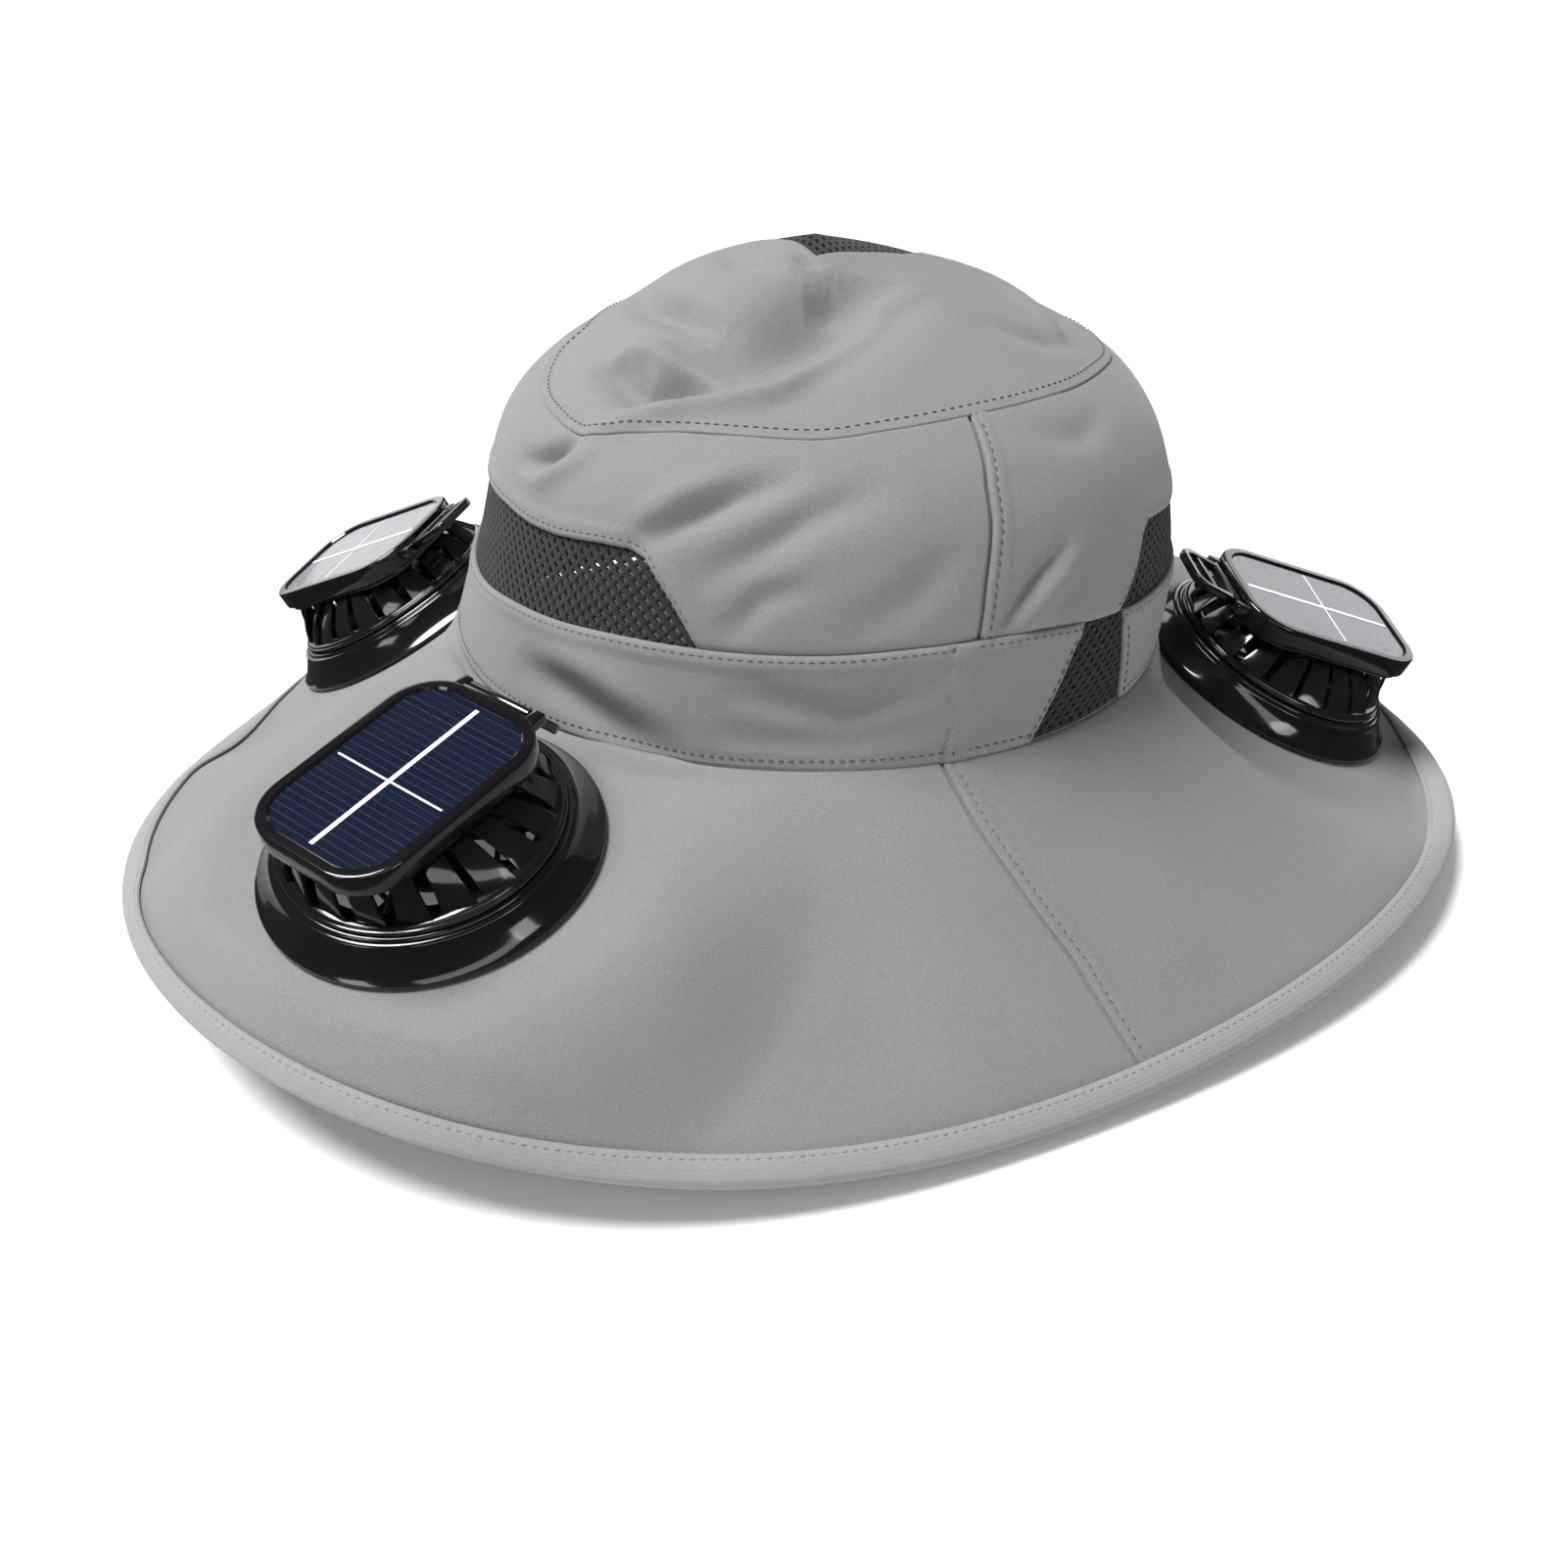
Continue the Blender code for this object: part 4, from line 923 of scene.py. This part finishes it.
def stitchShape():
    bm = bmesh.new()
    bmesh.ops.create_uvsphere(bm, u_segments=6, v_segments=4, radius=1.0)
    bmesh.ops.rotate(bm, cent=(0, 0, 0), matrix=Matrix.Rotation(math.pi / 2, 3, "Y"), verts=bm.verts)
    bmesh.ops.scale(bm, vec=(stitch["length"] / 2, stitch["radius"], stitch["radius"] * 0.8), verts=bm.verts)
    mesh = bpy.data.meshes.new("stitch_shape")
    bm.to_mesh(mesh)
    bm.free()
    return mesh


def layStitches(bm, line, normals):
    steps = np.concatenate([[0], np.cumsum(apart(line[1:], line[:-1]))])
    count = int(steps[-1] / stitch["pitch"])
    one = stitchShape()
    for k in range(count):
        at = (k + 0.5) * steps[-1] / count
        ends = [at - stitch["length"] / 2, at + stitch["length"] / 2]
        points = np.array([[np.interp(e, steps, line[:, c]) for c in range(3)] for e in ends])
        up = Vector([np.interp(at, steps, normals[:, c]) for c in range(3)]).normalized()
        along = Vector(points[1] - points[0]).normalized()
        side = up.cross(along).normalized()
        up = along.cross(side)
        turn = Matrix((along, side, up)).transposed().to_4x4()
        turn.translation = Vector(points.mean(0)) + up * stitch["rise"]
        one.transform(turn)
        bm.from_mesh(one)
        one.transform(turn.inverted())
    bpy.data.meshes.remove(one)


def crownLine(bm, azimuths, level, away=0.0, sunk=0.0):
    # stitches on the crown, this far up from a level
    level = level + away / ventKnit["perLevel"]
    layStitches(bm, crownPoint(azimuths, level, sunk), crownOutward(azimuths, level))


def brimLine(bm, azimuths, shares, lift=0.0):
    line = brimPoint(azimuths, shares)
    beside = brimPoint(azimuths + 0.5, shares) - brimPoint(azimuths - 0.5, shares)
    inward = brimPoint(azimuths, shares - 0.01) - brimPoint(azimuths, shares + 0.01)
    normals = unit(np.cross(beside, inward))
    normals = np.where(normals[:, 2:3] < 0, -normals, normals)
    layStitches(bm, line + normals * lift, normals)


def buildStitches():
    bm = bmesh.new()
    ring = np.linspace(-180, 180, 721)
    crownLine(bm, ring, levelAt(tipEdge, ring), 1.4 * mm, -0.3 * mm)        # above the tip's seam
    part = np.linspace(bandVent["topTo"], bandVent["topFrom"] + 360.0, 721)
    crownLine(bm, part, levelAt(bandEdge, part), -1.3 * mm, -0.25 * mm)     # below the band's top edge
    part = np.linspace(bandVent["lowTo"], bandVent["lowFrom"] + 360.0, 721)
    crownLine(bm, part, np.zeros_like(part), 2.3 * mm, 0.1 * mm)            # above the crown seam
    for vent in (leftVent, rightVent):
        rows = np.array(vent)
        azimuths = np.linspace(rows[0, 0] - 1.0, rows[-1, 0] + 1.0, 400)[:-12]
        crownLine(bm, azimuths, np.interp(azimuths, rows[:, 0], rows[:, 1]), 1.6 * mm, -0.1 * mm)
    for seam, low, high in ((wallSeam, levelAt(bandEdge, [21.0])[0], levelAt(tipEdge, [28.0])[0]),
                            (bandSeam, 0.0, levelAt(bandEdge, [18.0])[0])):
        rows = np.array(seam)
        shares = np.linspace(0.03, 0.96, 60)
        azimuths = np.interp(shares, rows[:, 0], rows[:, 1]) + math.degrees(2.2 * mm / crown["radius"])
        crownLine(bm, azimuths, low + (high - low) * shares, 0.0, -0.15 * mm)
    shares = np.linspace(0.04, 0.94, 30)
    for beside, azimuths in zip((-1.0, 1.0), bandVentSides(shares)):
        crownLine(bm, azimuths + beside, shares * 0.228, 0.0, -0.05 * mm)
    seam = np.array(brim["seam"])
    shares = np.linspace(0.03, 0.90, 90)
    azimuths = np.interp(shares, seam[:, 1], seam[:, 0])
    azimuths = azimuths + np.degrees(2.5 * mm / (crown["radius"] + shares * brim["reach"]))
    brimLine(bm, azimuths, shares, -0.05 * mm)
    # the seams' stitches take the darker thread finish, which carries painted shade for the stitch gaps
    piece = finishPiece("stitches_seams", bm, finishes["thread"])
    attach(piece, "hat")
    bm = bmesh.new()
    middle, out, up = bindingFrame(ringAround)
    line = middle - out * (binding["width"] - binding["stitchInset"])
    top = crown["cloth"] / 2 + binding["room"] + binding["cloth"]
    layStitches(bm, line + up * top, up)
    layStitches(bm, line - up * top, -up)
    piece = finishPiece("stitches_binding", bm, finishes["tape"])
    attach(piece, "hat")


buildWall()
buildTip()
buildBand()
print("crown cloth done")
buildSideVent("mesh_vent_left_knit", "mesh_vent_left", leftVent)
buildSideVent("mesh_vent_right_knit", "mesh_vent_right", rightVent)
buildBandVent()
buildRearVent()
print("vents done")
buildBrim()
buildBinding()
print("brim done")
buildStitches()
print("stitches done")

# Fans, each made in its own frame: z out of the brim, x towards the crown
fan = {
    "panelLength": 55.5 * mm,
    "panelWidth": 39.8 * mm,
    "panelCorner": 12.0 * mm,
    "panelFoot": 20.3 * mm,
    "lean": -1.5,       # degrees, the crown's end lower
    "offset": -1.8 * mm,
    "hingeX": 29.75 * mm,
    "hingeZ": 2.6 * mm,
    "hubTop": 11.8 * mm,
}


def spun(profile, sides=96, solid=False):
    # a profile in mm turned about z; a solid one runs from the axis to the axis
    bm = bmesh.new()
    corners = [bm.verts.new((radius * mm, 0.0, height * mm)) for radius, height in profile]
    lines = [bm.edges.new(pair) for pair in zip(corners, corners[1:])]
    if not solid:
        lines.append(bm.edges.new((corners[-1], corners[0])))
    bmesh.ops.spin(bm, geom=corners + lines, cent=(0, 0, 0), axis=(0, 0, 1), dvec=(0, 0, 0),
                   angle=2 * math.pi, steps=sides, use_merge=True, use_duplicate=False)
    bmesh.ops.remove_doubles(bm, verts=bm.verts, dist=0.001 * mm)
    bmesh.ops.recalc_face_normals(bm, faces=bm.faces)
    return bm


def softenEdges(bm, width, segments=2, angle=30.0):
    sharp = [e for e in bm.edges if len(e.link_faces) == 2 and e.calc_face_angle() > math.radians(angle)]
    bevelled(bm, sharp, "EDGES", width, segments, True)
    return bm


def spunPart(profile, width, sides=96):
    # a closed profile turned about z, with its sharp edges softened
    return softenEdges(spun(profile, sides), width, 2, 50.0)


def makeSolid(bm, height):
    # a flat shape made into a solid
    top = bmesh.ops.extrude_face_region(bm, geom=bm.faces[:])["geom"]
    bmesh.ops.translate(bm, vec=(0, 0, height), verts=[g for g in top if isinstance(g, bmesh.types.BMVert)])
    bmesh.ops.recalc_face_normals(bm, faces=bm.faces)


def roundedPlate(length, width, corner, low, high, steps=8):
    bm = flatSheet(length, width)
    bevelled(bm, bm.verts[:], "VERTICES", corner, steps)
    bmesh.ops.translate(bm, vec=(0, 0, low), verts=bm.verts)
    makeSolid(bm, high - low)
    return bm


def block(low, high, bevel=0.2 * mm, segments=2):
    bm = bmesh.new()
    bmesh.ops.create_cube(bm, size=1.0)
    bmesh.ops.scale(bm, vec=[b - a for a, b in zip(low, high)], verts=bm.verts)
    bmesh.ops.translate(bm, vec=[(a + b) / 2 for a, b in zip(low, high)], verts=bm.verts)
    bevelled(bm, bm.edges[:], "EDGES", bevel, segments, True)
    return bm


def joinInto(bm, other, turn=None):
    if turn is not None:
        bmesh.ops.transform(other, matrix=turn, verts=other.verts)
    carrier = bpy.data.meshes.new("carrier")
    other.to_mesh(carrier)
    other.free()
    bm.from_mesh(carrier)
    bpy.data.meshes.remove(carrier)


def aroundZ(share):
    return Matrix.Rotation(2 * math.pi * share, 4, "Z")


def panelTurn(height):
    lean = Matrix.Rotation(-math.radians(fan["lean"]), 4, "Y")
    return Matrix.Translation((fan["offset"], 0, height)) @ lean


skirtProfile = [(26.5, 8.9), (31.2, 8.9), (31.9, 8.7), (32.2, 8.3), (32.2, 8.0), (33.0, 7.9), (33.3, 7.6),
                (33.4, 7.1), (34.8, 5.0), (36.3, 3.1), (37.4, 1.9), (38.0, 1.5), (38.1, 0.9),
                (37.9, 0.5), (36.8, 0.5), (35.4, 1.5), (32.0, 4.2), (28.1, 4.8), (28.1, -1.9), (26.5, -1.9)]


def makeSkirt():
    return spunPart(skirtProfile, 0.14 * mm)


slats = {
    "count": 20,
    "footWidth": 7.4 * mm,
    "topWidth": 4.4 * mm,
    "depth": 1.1 * mm,
    "low": 10.4 * mm,
    "high": 19.4 * mm,
    "footRadius": 28.9 * mm,
    "inset": 2.3 * mm,      # of their tops from the panel's outline
    "squareness": 3,
    "bow": 2.2,
    "louvre": 0.16,     # how far each one is turned from square on
    "bands": 6,
    "corner": 0.12,
}


def uprights(bm, least):
    return [e for e in bm.edges if abs(e.verts[0].co.z - e.verts[1].co.z) > least]


def makeSlats():
    bm = bmesh.new()
    halfLength = fan["panelLength"] / 2 - slats["inset"]
    halfWidth = fan["panelWidth"] / 2 - slats["inset"]
    foot, power = slats["footRadius"], slats["squareness"]
    for k in range(slats["count"]):
        turn = 2 * math.pi * (k + 0.5) / slats["count"]
        top = (abs(math.cos(turn) / halfLength)**power + abs(math.sin(turn) / halfWidth)**power)**(-1 / power)
        slat = bmesh.new()
        bmesh.ops.create_cube(slat, size=1.0)
        bmesh.ops.subdivide_edges(slat, edges=uprights(slat, 0.5), cuts=slats["bands"], use_grid_fill=True)
        bevelled(slat, uprights(slat, 0.1), "EDGES", slats["corner"], 1)
        for vert in slat.verts:
            rise = vert.co.z + 0.5
            reach = foot + (top - foot) * (0.5 * rise + 0.5 * rise**slats["bow"]) + vert.co.x * slats["depth"]
            high = slats["high"] + math.tan(math.radians(fan["lean"])) * reach * math.cos(turn)
            side = vert.co.y * (slats["footWidth"] + (slats["topWidth"] - slats["footWidth"]) * rise)
            reach += slats["louvre"] * side
            vert.co = (fan["offset"] * rise + reach * math.cos(turn) - side * math.sin(turn),
                       reach * math.sin(turn) + side * math.cos(turn),
                       slats["low"] + (high - slats["low"]) * rise)
        joinInto(bm, slat)
    bmesh.ops.recalc_face_normals(bm, faces=bm.faces)
    return bm


cage = {"deckHeight": 18.8 * mm, "deckThickness": 1.2 * mm, "deckMargin": 1.2 * mm, "deckRound": 0.3 * mm}
ringProfile = [(26.5, 10.8), (30.2, 10.8), (30.6, 10.5), (30.7, 10.2), (31.2, 10.1), (31.3, 9.8), (31.3, 9.4),
               (31.1, 9.2), (26.5, 9.2)]
motorProfile = [(0, 19.5), (8.5, 19.5), (8.5, 18.2), (8.9, 18.0), (8.9, 15.6), (8.5, 15.4), (8.5, 13.0),
                (7.9, 12.4), (3.0, 12.3), (0, 12.3)]


def makeCage():
    bm = spunPart(ringProfile, 0.12 * mm)
    joinInto(bm, makeSlats())
    margin = cage["deckMargin"]
    deck = roundedPlate(fan["panelLength"] - 2 * margin, fan["panelWidth"] - 2 * margin,
                        fan["panelCorner"] - margin, 0.0, cage["deckThickness"])
    joinInto(bm, softenEdges(deck, cage["deckRound"]), panelTurn(cage["deckHeight"]))
    joinInto(bm, softenEdges(spun(motorProfile, 48, True), 0.15 * mm))
    return bm


bezel = {
    "thickness": 5.2 * mm,
    "rim": 3.0 * mm,
    "slope": 0.5 * mm,
    "slopeDepth": 0.45 * mm,
    "recess": 1.6 * mm,
    "round": 0.75 * mm,
    "earGap": 0.3 * mm,
    "earWidth": 3.0 * mm,
    "earRadius": 1.4 * mm,
    "earRound": 0.45 * mm,
}
clip = {
    "width": 18.0 * mm,
    "length": 14.0 * mm,
    "bar": 2.8 * mm,
    "thickness": 2.3 * mm,
    "overlap": 1.0 * mm,        # of the arms past the hinge
    "corner": 4.6 * mm,
    "barrel": 1.35,     # radius in mm
    "hang": -60.0,      # degrees from the panel at the lower stop
}


def makeBezel():
    thickness, length = bezel["thickness"], fan["panelLength"]
    bm = roundedPlate(length, fan["panelWidth"], fan["panelCorner"], 0.0, thickness, 12)
    top = [f for f in bm.faces if f.normal.z > 0.9 and f.calc_center_median().z > thickness / 2]
    for inset, depth in ((bezel["rim"] - bezel["slope"], 0.0), (bezel["slope"], -bezel["slopeDepth"]),
                         (0.02 * mm, -bezel["recess"])):
        bmesh.ops.inset_region(bm, faces=top, thickness=inset, depth=depth, use_even_offset=True)
    sharp = [e for e in bm.edges if len(e.link_faces) == 2 and e.calc_face_angle() > math.radians(50)]
    rim = [e for e in sharp if all(f not in top for f in e.link_faces)
           and all(v.co.z > thickness - 0.1 * mm for v in e.verts)]
    bevelled(bm, rim, "EDGES", bezel["round"], 4, True)
    softenEdges(bm, 0.25 * mm, 2, 60.0)
    half, reach = clip["width"] / 2, bezel["earRadius"]
    earFoot = half + bezel["earGap"]
    for side in (-1, 1):
        near, far = sorted((side * earFoot, side * (earFoot + bezel["earWidth"])))
        ear = block((length / 2 - 1.5 * mm, near, fan["hingeZ"] - reach),
                    (fan["hingeX"] + reach, far, fan["hingeZ"] + reach), bezel["earRound"], 3)
        joinInto(bm, ear)
    lip = block((length / 2 - 0.9 * mm, -half + 0.4 * mm, 3.4 * mm),
                (length / 2 + 0.35 * mm, half - 0.4 * mm, 5.1 * mm), 0.25 * mm)
    joinInto(bm, lip)
    return bm


cell = {
    "length": fan["panelLength"] - 2 * bezel["rim"],
    "width": fan["panelWidth"] - 2 * bezel["rim"],
    "low": 3.0 * mm,
    "top": 4.6 * mm,
    "busWidth": 1.15 * mm,
    "busEnd": 1.4 * mm,
    "busRise": 0.10 * mm,
    "crossWidth": 0.5 * mm,
    "crossEnd": 1.2 * mm,
    "crossRise": 0.08 * mm,
    "crossAt": -2.2 * mm,
}


def makeCell():
    corner = fan["panelCorner"] - bezel["rim"]
    bm = roundedPlate(cell["length"], cell["width"], corner, cell["low"], cell["top"], 10)
    layer = bm.loops.layers.uv.new("weave")
    for face in bm.faces:
        for loop in face.loops:
            loop[layer].uv = loop.vert.co.xy
    return bm


def makeBars():
    # printed silver lines: the wide bar along the cell and the thin one across it
    bm = bmesh.new()
    end, side, top = cell["length"] / 2 - cell["busEnd"], cell["busWidth"] / 2, cell["top"]
    joinInto(bm, block((-end, -side, top), (end, side, top + cell["busRise"]), 0.03 * mm, 1))
    end, side, middle = cell["width"] / 2 - cell["crossEnd"], cell["crossWidth"] / 2, cell["crossAt"]
    cross = block((middle - side, -end, top), (middle + side, end, top + cell["crossRise"]), 0.02 * mm, 1)
    joinInto(bm, cross)
    return bm


rotor = {
    "blades": 7,
    "root": 8.4 * mm,
    "tip": 24.3 * mm,
    "pitch": 34.0,
    "twist": 10.0,
    "camber": 0.10,
    "sweep": 0.12,
    "middle": -3.7 * mm,
    "low": -6.6 * mm,
    "high": -0.5 * mm,
    "thickness": 0.9 * mm,
}
hubProfile = [(0, 0), (7.2, 0), (8.4, -0.5), (9.0, -1.6), (9.0, -7.0), (8.2, -7.0), (8.0, -2.0), (0, -1.6)]


def makeRotor():
    bm = softenEdges(spun(hubProfile, 48, True), 0.15 * mm)
    for k in range(rotor["blades"]):
        blade = bmesh.new()
        bmesh.ops.create_grid(blade, x_segments=8, y_segments=6, size=0.5)
        for vert in blade.verts:
            out, over = vert.co.x + 0.5, vert.co.y
            reach = rotor["root"] + (rotor["tip"] - rotor["root"]) * out
            chord = (6.2 + 3.4 * out - 2.2 * out**4) * mm       # widest just inside the tip
            pitch = math.radians(rotor["pitch"] + rotor["twist"] * (1 - out))
            camber = rotor["camber"] * chord * (1 - 4 * over * over)
            y = over * chord * math.cos(pitch) - camber * math.sin(pitch) + rotor["sweep"] * reach * out
            z = over * chord * math.sin(pitch) + camber * math.cos(pitch) + rotor["middle"]
            z = min(max(z, rotor["low"]), rotor["high"])
            turn = y / reach
            vert.co = (reach * math.cos(turn), reach * math.sin(turn), z)
        bmesh.ops.solidify(blade, geom=blade.faces[:], thickness=rotor["thickness"])
        bmesh.ops.recalc_face_normals(blade, faces=blade.faces)
        joinInto(bm, blade, aroundZ(k / rotor["blades"]))
    return bm


guard = {"rings": (13.5, 19.5), "ringHalf": 0.6, "spokes": 6, "screws": 3, "screwAt": 28.1 * mm}
guardProfile = [(24.9, -2.2), (31.0, -2.2), (31.3, -2.6), (31.3, -3.6), (30.9, -4.0), (25.3, -4.0),
                (24.9, -3.6)]
guardHub = [(0, -2.2), (7.8, -2.2), (8.5, -2.6), (8.5, -3.6), (7.6, -4.0), (0, -4.0)]
screwProfile = [(0, -4.2), (1.4, -4.2), (1.9, -4.05), (1.9, -3.8), (0, -3.8)]


def makeGuard():
    bm = spunPart(guardProfile, 0.12 * mm)
    for radius in guard["rings"]:
        low, high = radius - guard["ringHalf"], radius + guard["ringHalf"]
        joinInto(bm, softenEdges(spun([(low, -2.5), (high, -2.5), (high, -3.7), (low, -3.7)], 64), 0.2 * mm))
    joinInto(bm, softenEdges(spun(guardHub, 48, True), 0.15 * mm))
    for k in range(guard["spokes"]):
        spoke = block((7.5 * mm, -0.8 * mm, -3.8 * mm), (25.5 * mm, 0.8 * mm, -2.4 * mm), 0.25 * mm)
        joinInto(bm, spoke, aroundZ(k / guard["spokes"]))
    for k in range(guard["screws"]):
        turn = aroundZ((k + 0.25) / guard["screws"]) @ Matrix.Translation((guard["screwAt"], 0, 0))
        joinInto(bm, spun(screwProfile, 24, True), turn)
    return bm


def makeClip():
    half, bar, length = clip["width"] / 2, clip["bar"], clip["length"]
    bm = flatSheet(length + clip["overlap"], 2 * half)
    bmesh.ops.translate(bm, vec=((length - clip["overlap"]) / 2, 0, -clip["thickness"] / 2), verts=bm.verts)
    bevelled(bm, [v for v in bm.verts if v.co.x > length / 2], "VERTICES", clip["corner"], 8)
    inner = bm.faces[:]
    bmesh.ops.inset_region(bm, faces=inner, thickness=bar * 0.85, depth=0.0, use_even_offset=True,
                           use_boundary=True)
    bmesh.ops.delete(bm, geom=inner, context="FACES")
    makeSolid(bm, clip["thickness"])
    softenEdges(bm, 0.5 * mm, 3, 40.0)
    side = half - bar * 0.6
    joinInto(bm, block((length * 0.45, -side, -0.9 * mm), (length * 0.60, side, 0.9 * mm), 0.3 * mm))
    radius, end = clip["barrel"], half / mm
    barrel = spun([(0, -end), (radius, -end), (radius, end), (0, end)], 32, True)
    bmesh.ops.rotate(barrel, cent=(0, 0, 0), matrix=Matrix.Rotation(math.pi / 2, 3, "X"), verts=barrel.verts)
    joinInto(bm, softenEdges(barrel, 0.25 * mm))
    return bm


def buildFan(name):
    turn = fanFrames[name]
    rise = clip["hang"] - jointOf("clip_hinge", name)["range_deg"][0]
    panel = turn @ panelTurn(fan["panelFoot"])
    clipTurn = (panel @ Matrix.Translation((fan["hingeX"], 0, fan["hingeZ"]))
                @ Matrix.Rotation(-math.radians(rise), 4, "Y"))
    hub = turn @ Matrix.Translation((0, 0, fan["hubTop"]))
    parts = [
        # name, shape, place, finish, body, node it stands for
        ("skirt_fan", makeSkirt(), turn, "plastic", "hat", "fan_flange"),
        ("cage_fan", makeCage(), turn, "plastic", "hat", "fan_cage"),
        ("bezel_solar", makeBezel(), panel, "plastic", "hat", "solar_bezel"),
        ("cell_solar", makeCell(), panel, "cell", "hat", "solar_cell"),
        ("bars_solar", makeBars(), panel, "silver", "hat", None),
        ("rotor_fan", makeRotor(), hub, "inner", "rotor", "fan_rotor"),
        ("guard_fan", makeGuard(), turn, "inner", "hat", "fan_guard"),
        ("clip_fan", makeClip(), clipTurn, "plastic", "clip", "fan_clip"),
    ]
    for label, shape, place, finish, body, node in parts:
        bmesh.ops.transform(shape, matrix=place, verts=shape.verts)
        piece = finishPiece(f"{label}_{name}", shape, finishes[finish], 38.0)
        if node:
            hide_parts(f"{node}_{name}")
        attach(piece, body if body == "hat" else f"{body}_{name}")


for name in fanNames:
    buildFan(name)
print("fans done")

# Camera at the photograph's place, looking down on the front
view = {"place": (-0.0019, -0.4279, 0.25186), "pan": -0.89, "tilt": 30.29, "roll": 0.18, "focal": 1790.0,
        "width": 1601}      # focal length and width in pixels of the photograph
camera = linked("camera", bpy.data.cameras.new("camera"))
pan, tilt, roll = (math.radians(view[key]) for key in ("pan", "tilt", "roll"))
camera.matrix_world = (Matrix.Translation(view["place"]) @ Matrix.Rotation(-pan, 4, "Z")
                       @ Matrix.Rotation(math.pi / 2 - tilt, 4, "X") @ Matrix.Rotation(-roll, 4, "Z"))
camera.data.sensor_width = 36.0
camera.data.sensor_fit = "HORIZONTAL"
camera.data.lens = 36.0 * view["focal"] / view["width"]
bpy.context.scene.camera = camera

# Pale floor and soft studio light
studio = {"ambient": 0.25, "gloss": 0.06, "sun": 6.1, "sunSpread": 30.0, "windows": 1.3, "floor": 16.0,
          "floorGlow": 0.10}


def whiteFinish(name, glow):
    finish, tree, shader = newFinish(name)
    shader.inputs["Base Color"].default_value = (0.9, 0.9, 0.9, 1)
    shader.inputs["Emission Color"].default_value = (1, 1, 1, 1)
    shader.inputs["Emission Strength"].default_value = glow
    return finish, shader


bm = flatSheet(studio["floor"], studio["floor"])
bmesh.ops.translate(bm, vec=(0, 0, cadBox[0][2]), verts=bm.verts)
floorFinish, shader = whiteFinish("studio_floor", studio["floorGlow"])
shader.inputs["Roughness"].default_value = 0.9
floor = finishPiece("studio_floor", bm, floorFinish)
floor.visible_glossy = False


def reflector(name, place, size, strength):
    # an upright white board, seen only in the gloss
    bm = flatSheet(*size)
    bmesh.ops.rotate(bm, cent=(0, 0, 0), matrix=Matrix.Rotation(math.pi / 2, 3, "X"), verts=bm.verts)
    bmesh.ops.translate(bm, vec=place, verts=bm.verts)
    board = finishPiece(name, bm, whiteFinish(name, strength)[0])
    board.visible_camera = False
    board.visible_diffuse = False
    board.visible_shadow = False


reflector("board_left", (-2.6, 3.0, 0.2), (3.6, 2.2), 0.50)
reflector("board_right", (2.4, 3.0, 0.9), (3.2, 1.6), 0.70)
reflector("board_front", (0.4, -1.4, 1.0), (1.8, 0.5), 1.5)


def addLight(name, kind, power, direction):
    data = bpy.data.lights.new(name, kind)
    data.energy = power
    lamp = linked(name, data)
    lamp.rotation_euler = Vector(direction).to_track_quat("-Z", "Y").to_euler()
    return lamp


def windowLight(name, place, aim, size):
    lamp = addLight(name, "AREA", studio["windows"], Vector(aim) - Vector(place))
    lamp.location = place
    lamp.data.shape = "RECTANGLE"
    lamp.data.size, lamp.data.size_y = size


sun = addLight("sun", "SUN", studio["sun"], (0.46, 0.0, -1.0))
sun.data.angle = math.radians(studio["sunSpread"])
windowLight("window_left", (-0.80, -0.75, 0.60), (-0.05, -0.05, 0.05), (0.26, 0.34))
windowLight("window_right", (0.75, -0.80, 0.55), (0.0, -0.05, 0.05), (0.26, 0.34))
windowLight("window_back", (-0.50, 1.0, 0.8), (0, 0, 0.08), (0.5, 0.3))

# the sky is white for the eye, dimmer for the cloth, and dimmest in the gloss
world = bpy.data.worlds.new("studio")
bpy.context.scene.world = world
world.use_nodes = True
sky = world.node_tree
back = sky.nodes["Background"]
back.inputs[0].default_value = (1, 1, 1, 1)
ray = addNode(sky, "ShaderNodeLightPath")
seen = times(sky, ray.outputs["Is Camera Ray"], 1.0 - studio["ambient"])
mirrored = times(sky, ray.outputs["Is Glossy Ray"], studio["gloss"] - studio["ambient"])
level = plus(sky, plus(sky, seen, studio["ambient"]), mirrored)
sky.links.new(level, back.inputs[1])
bpy.context.scene.view_settings.view_transform = "Standard"
print("camera and light done")
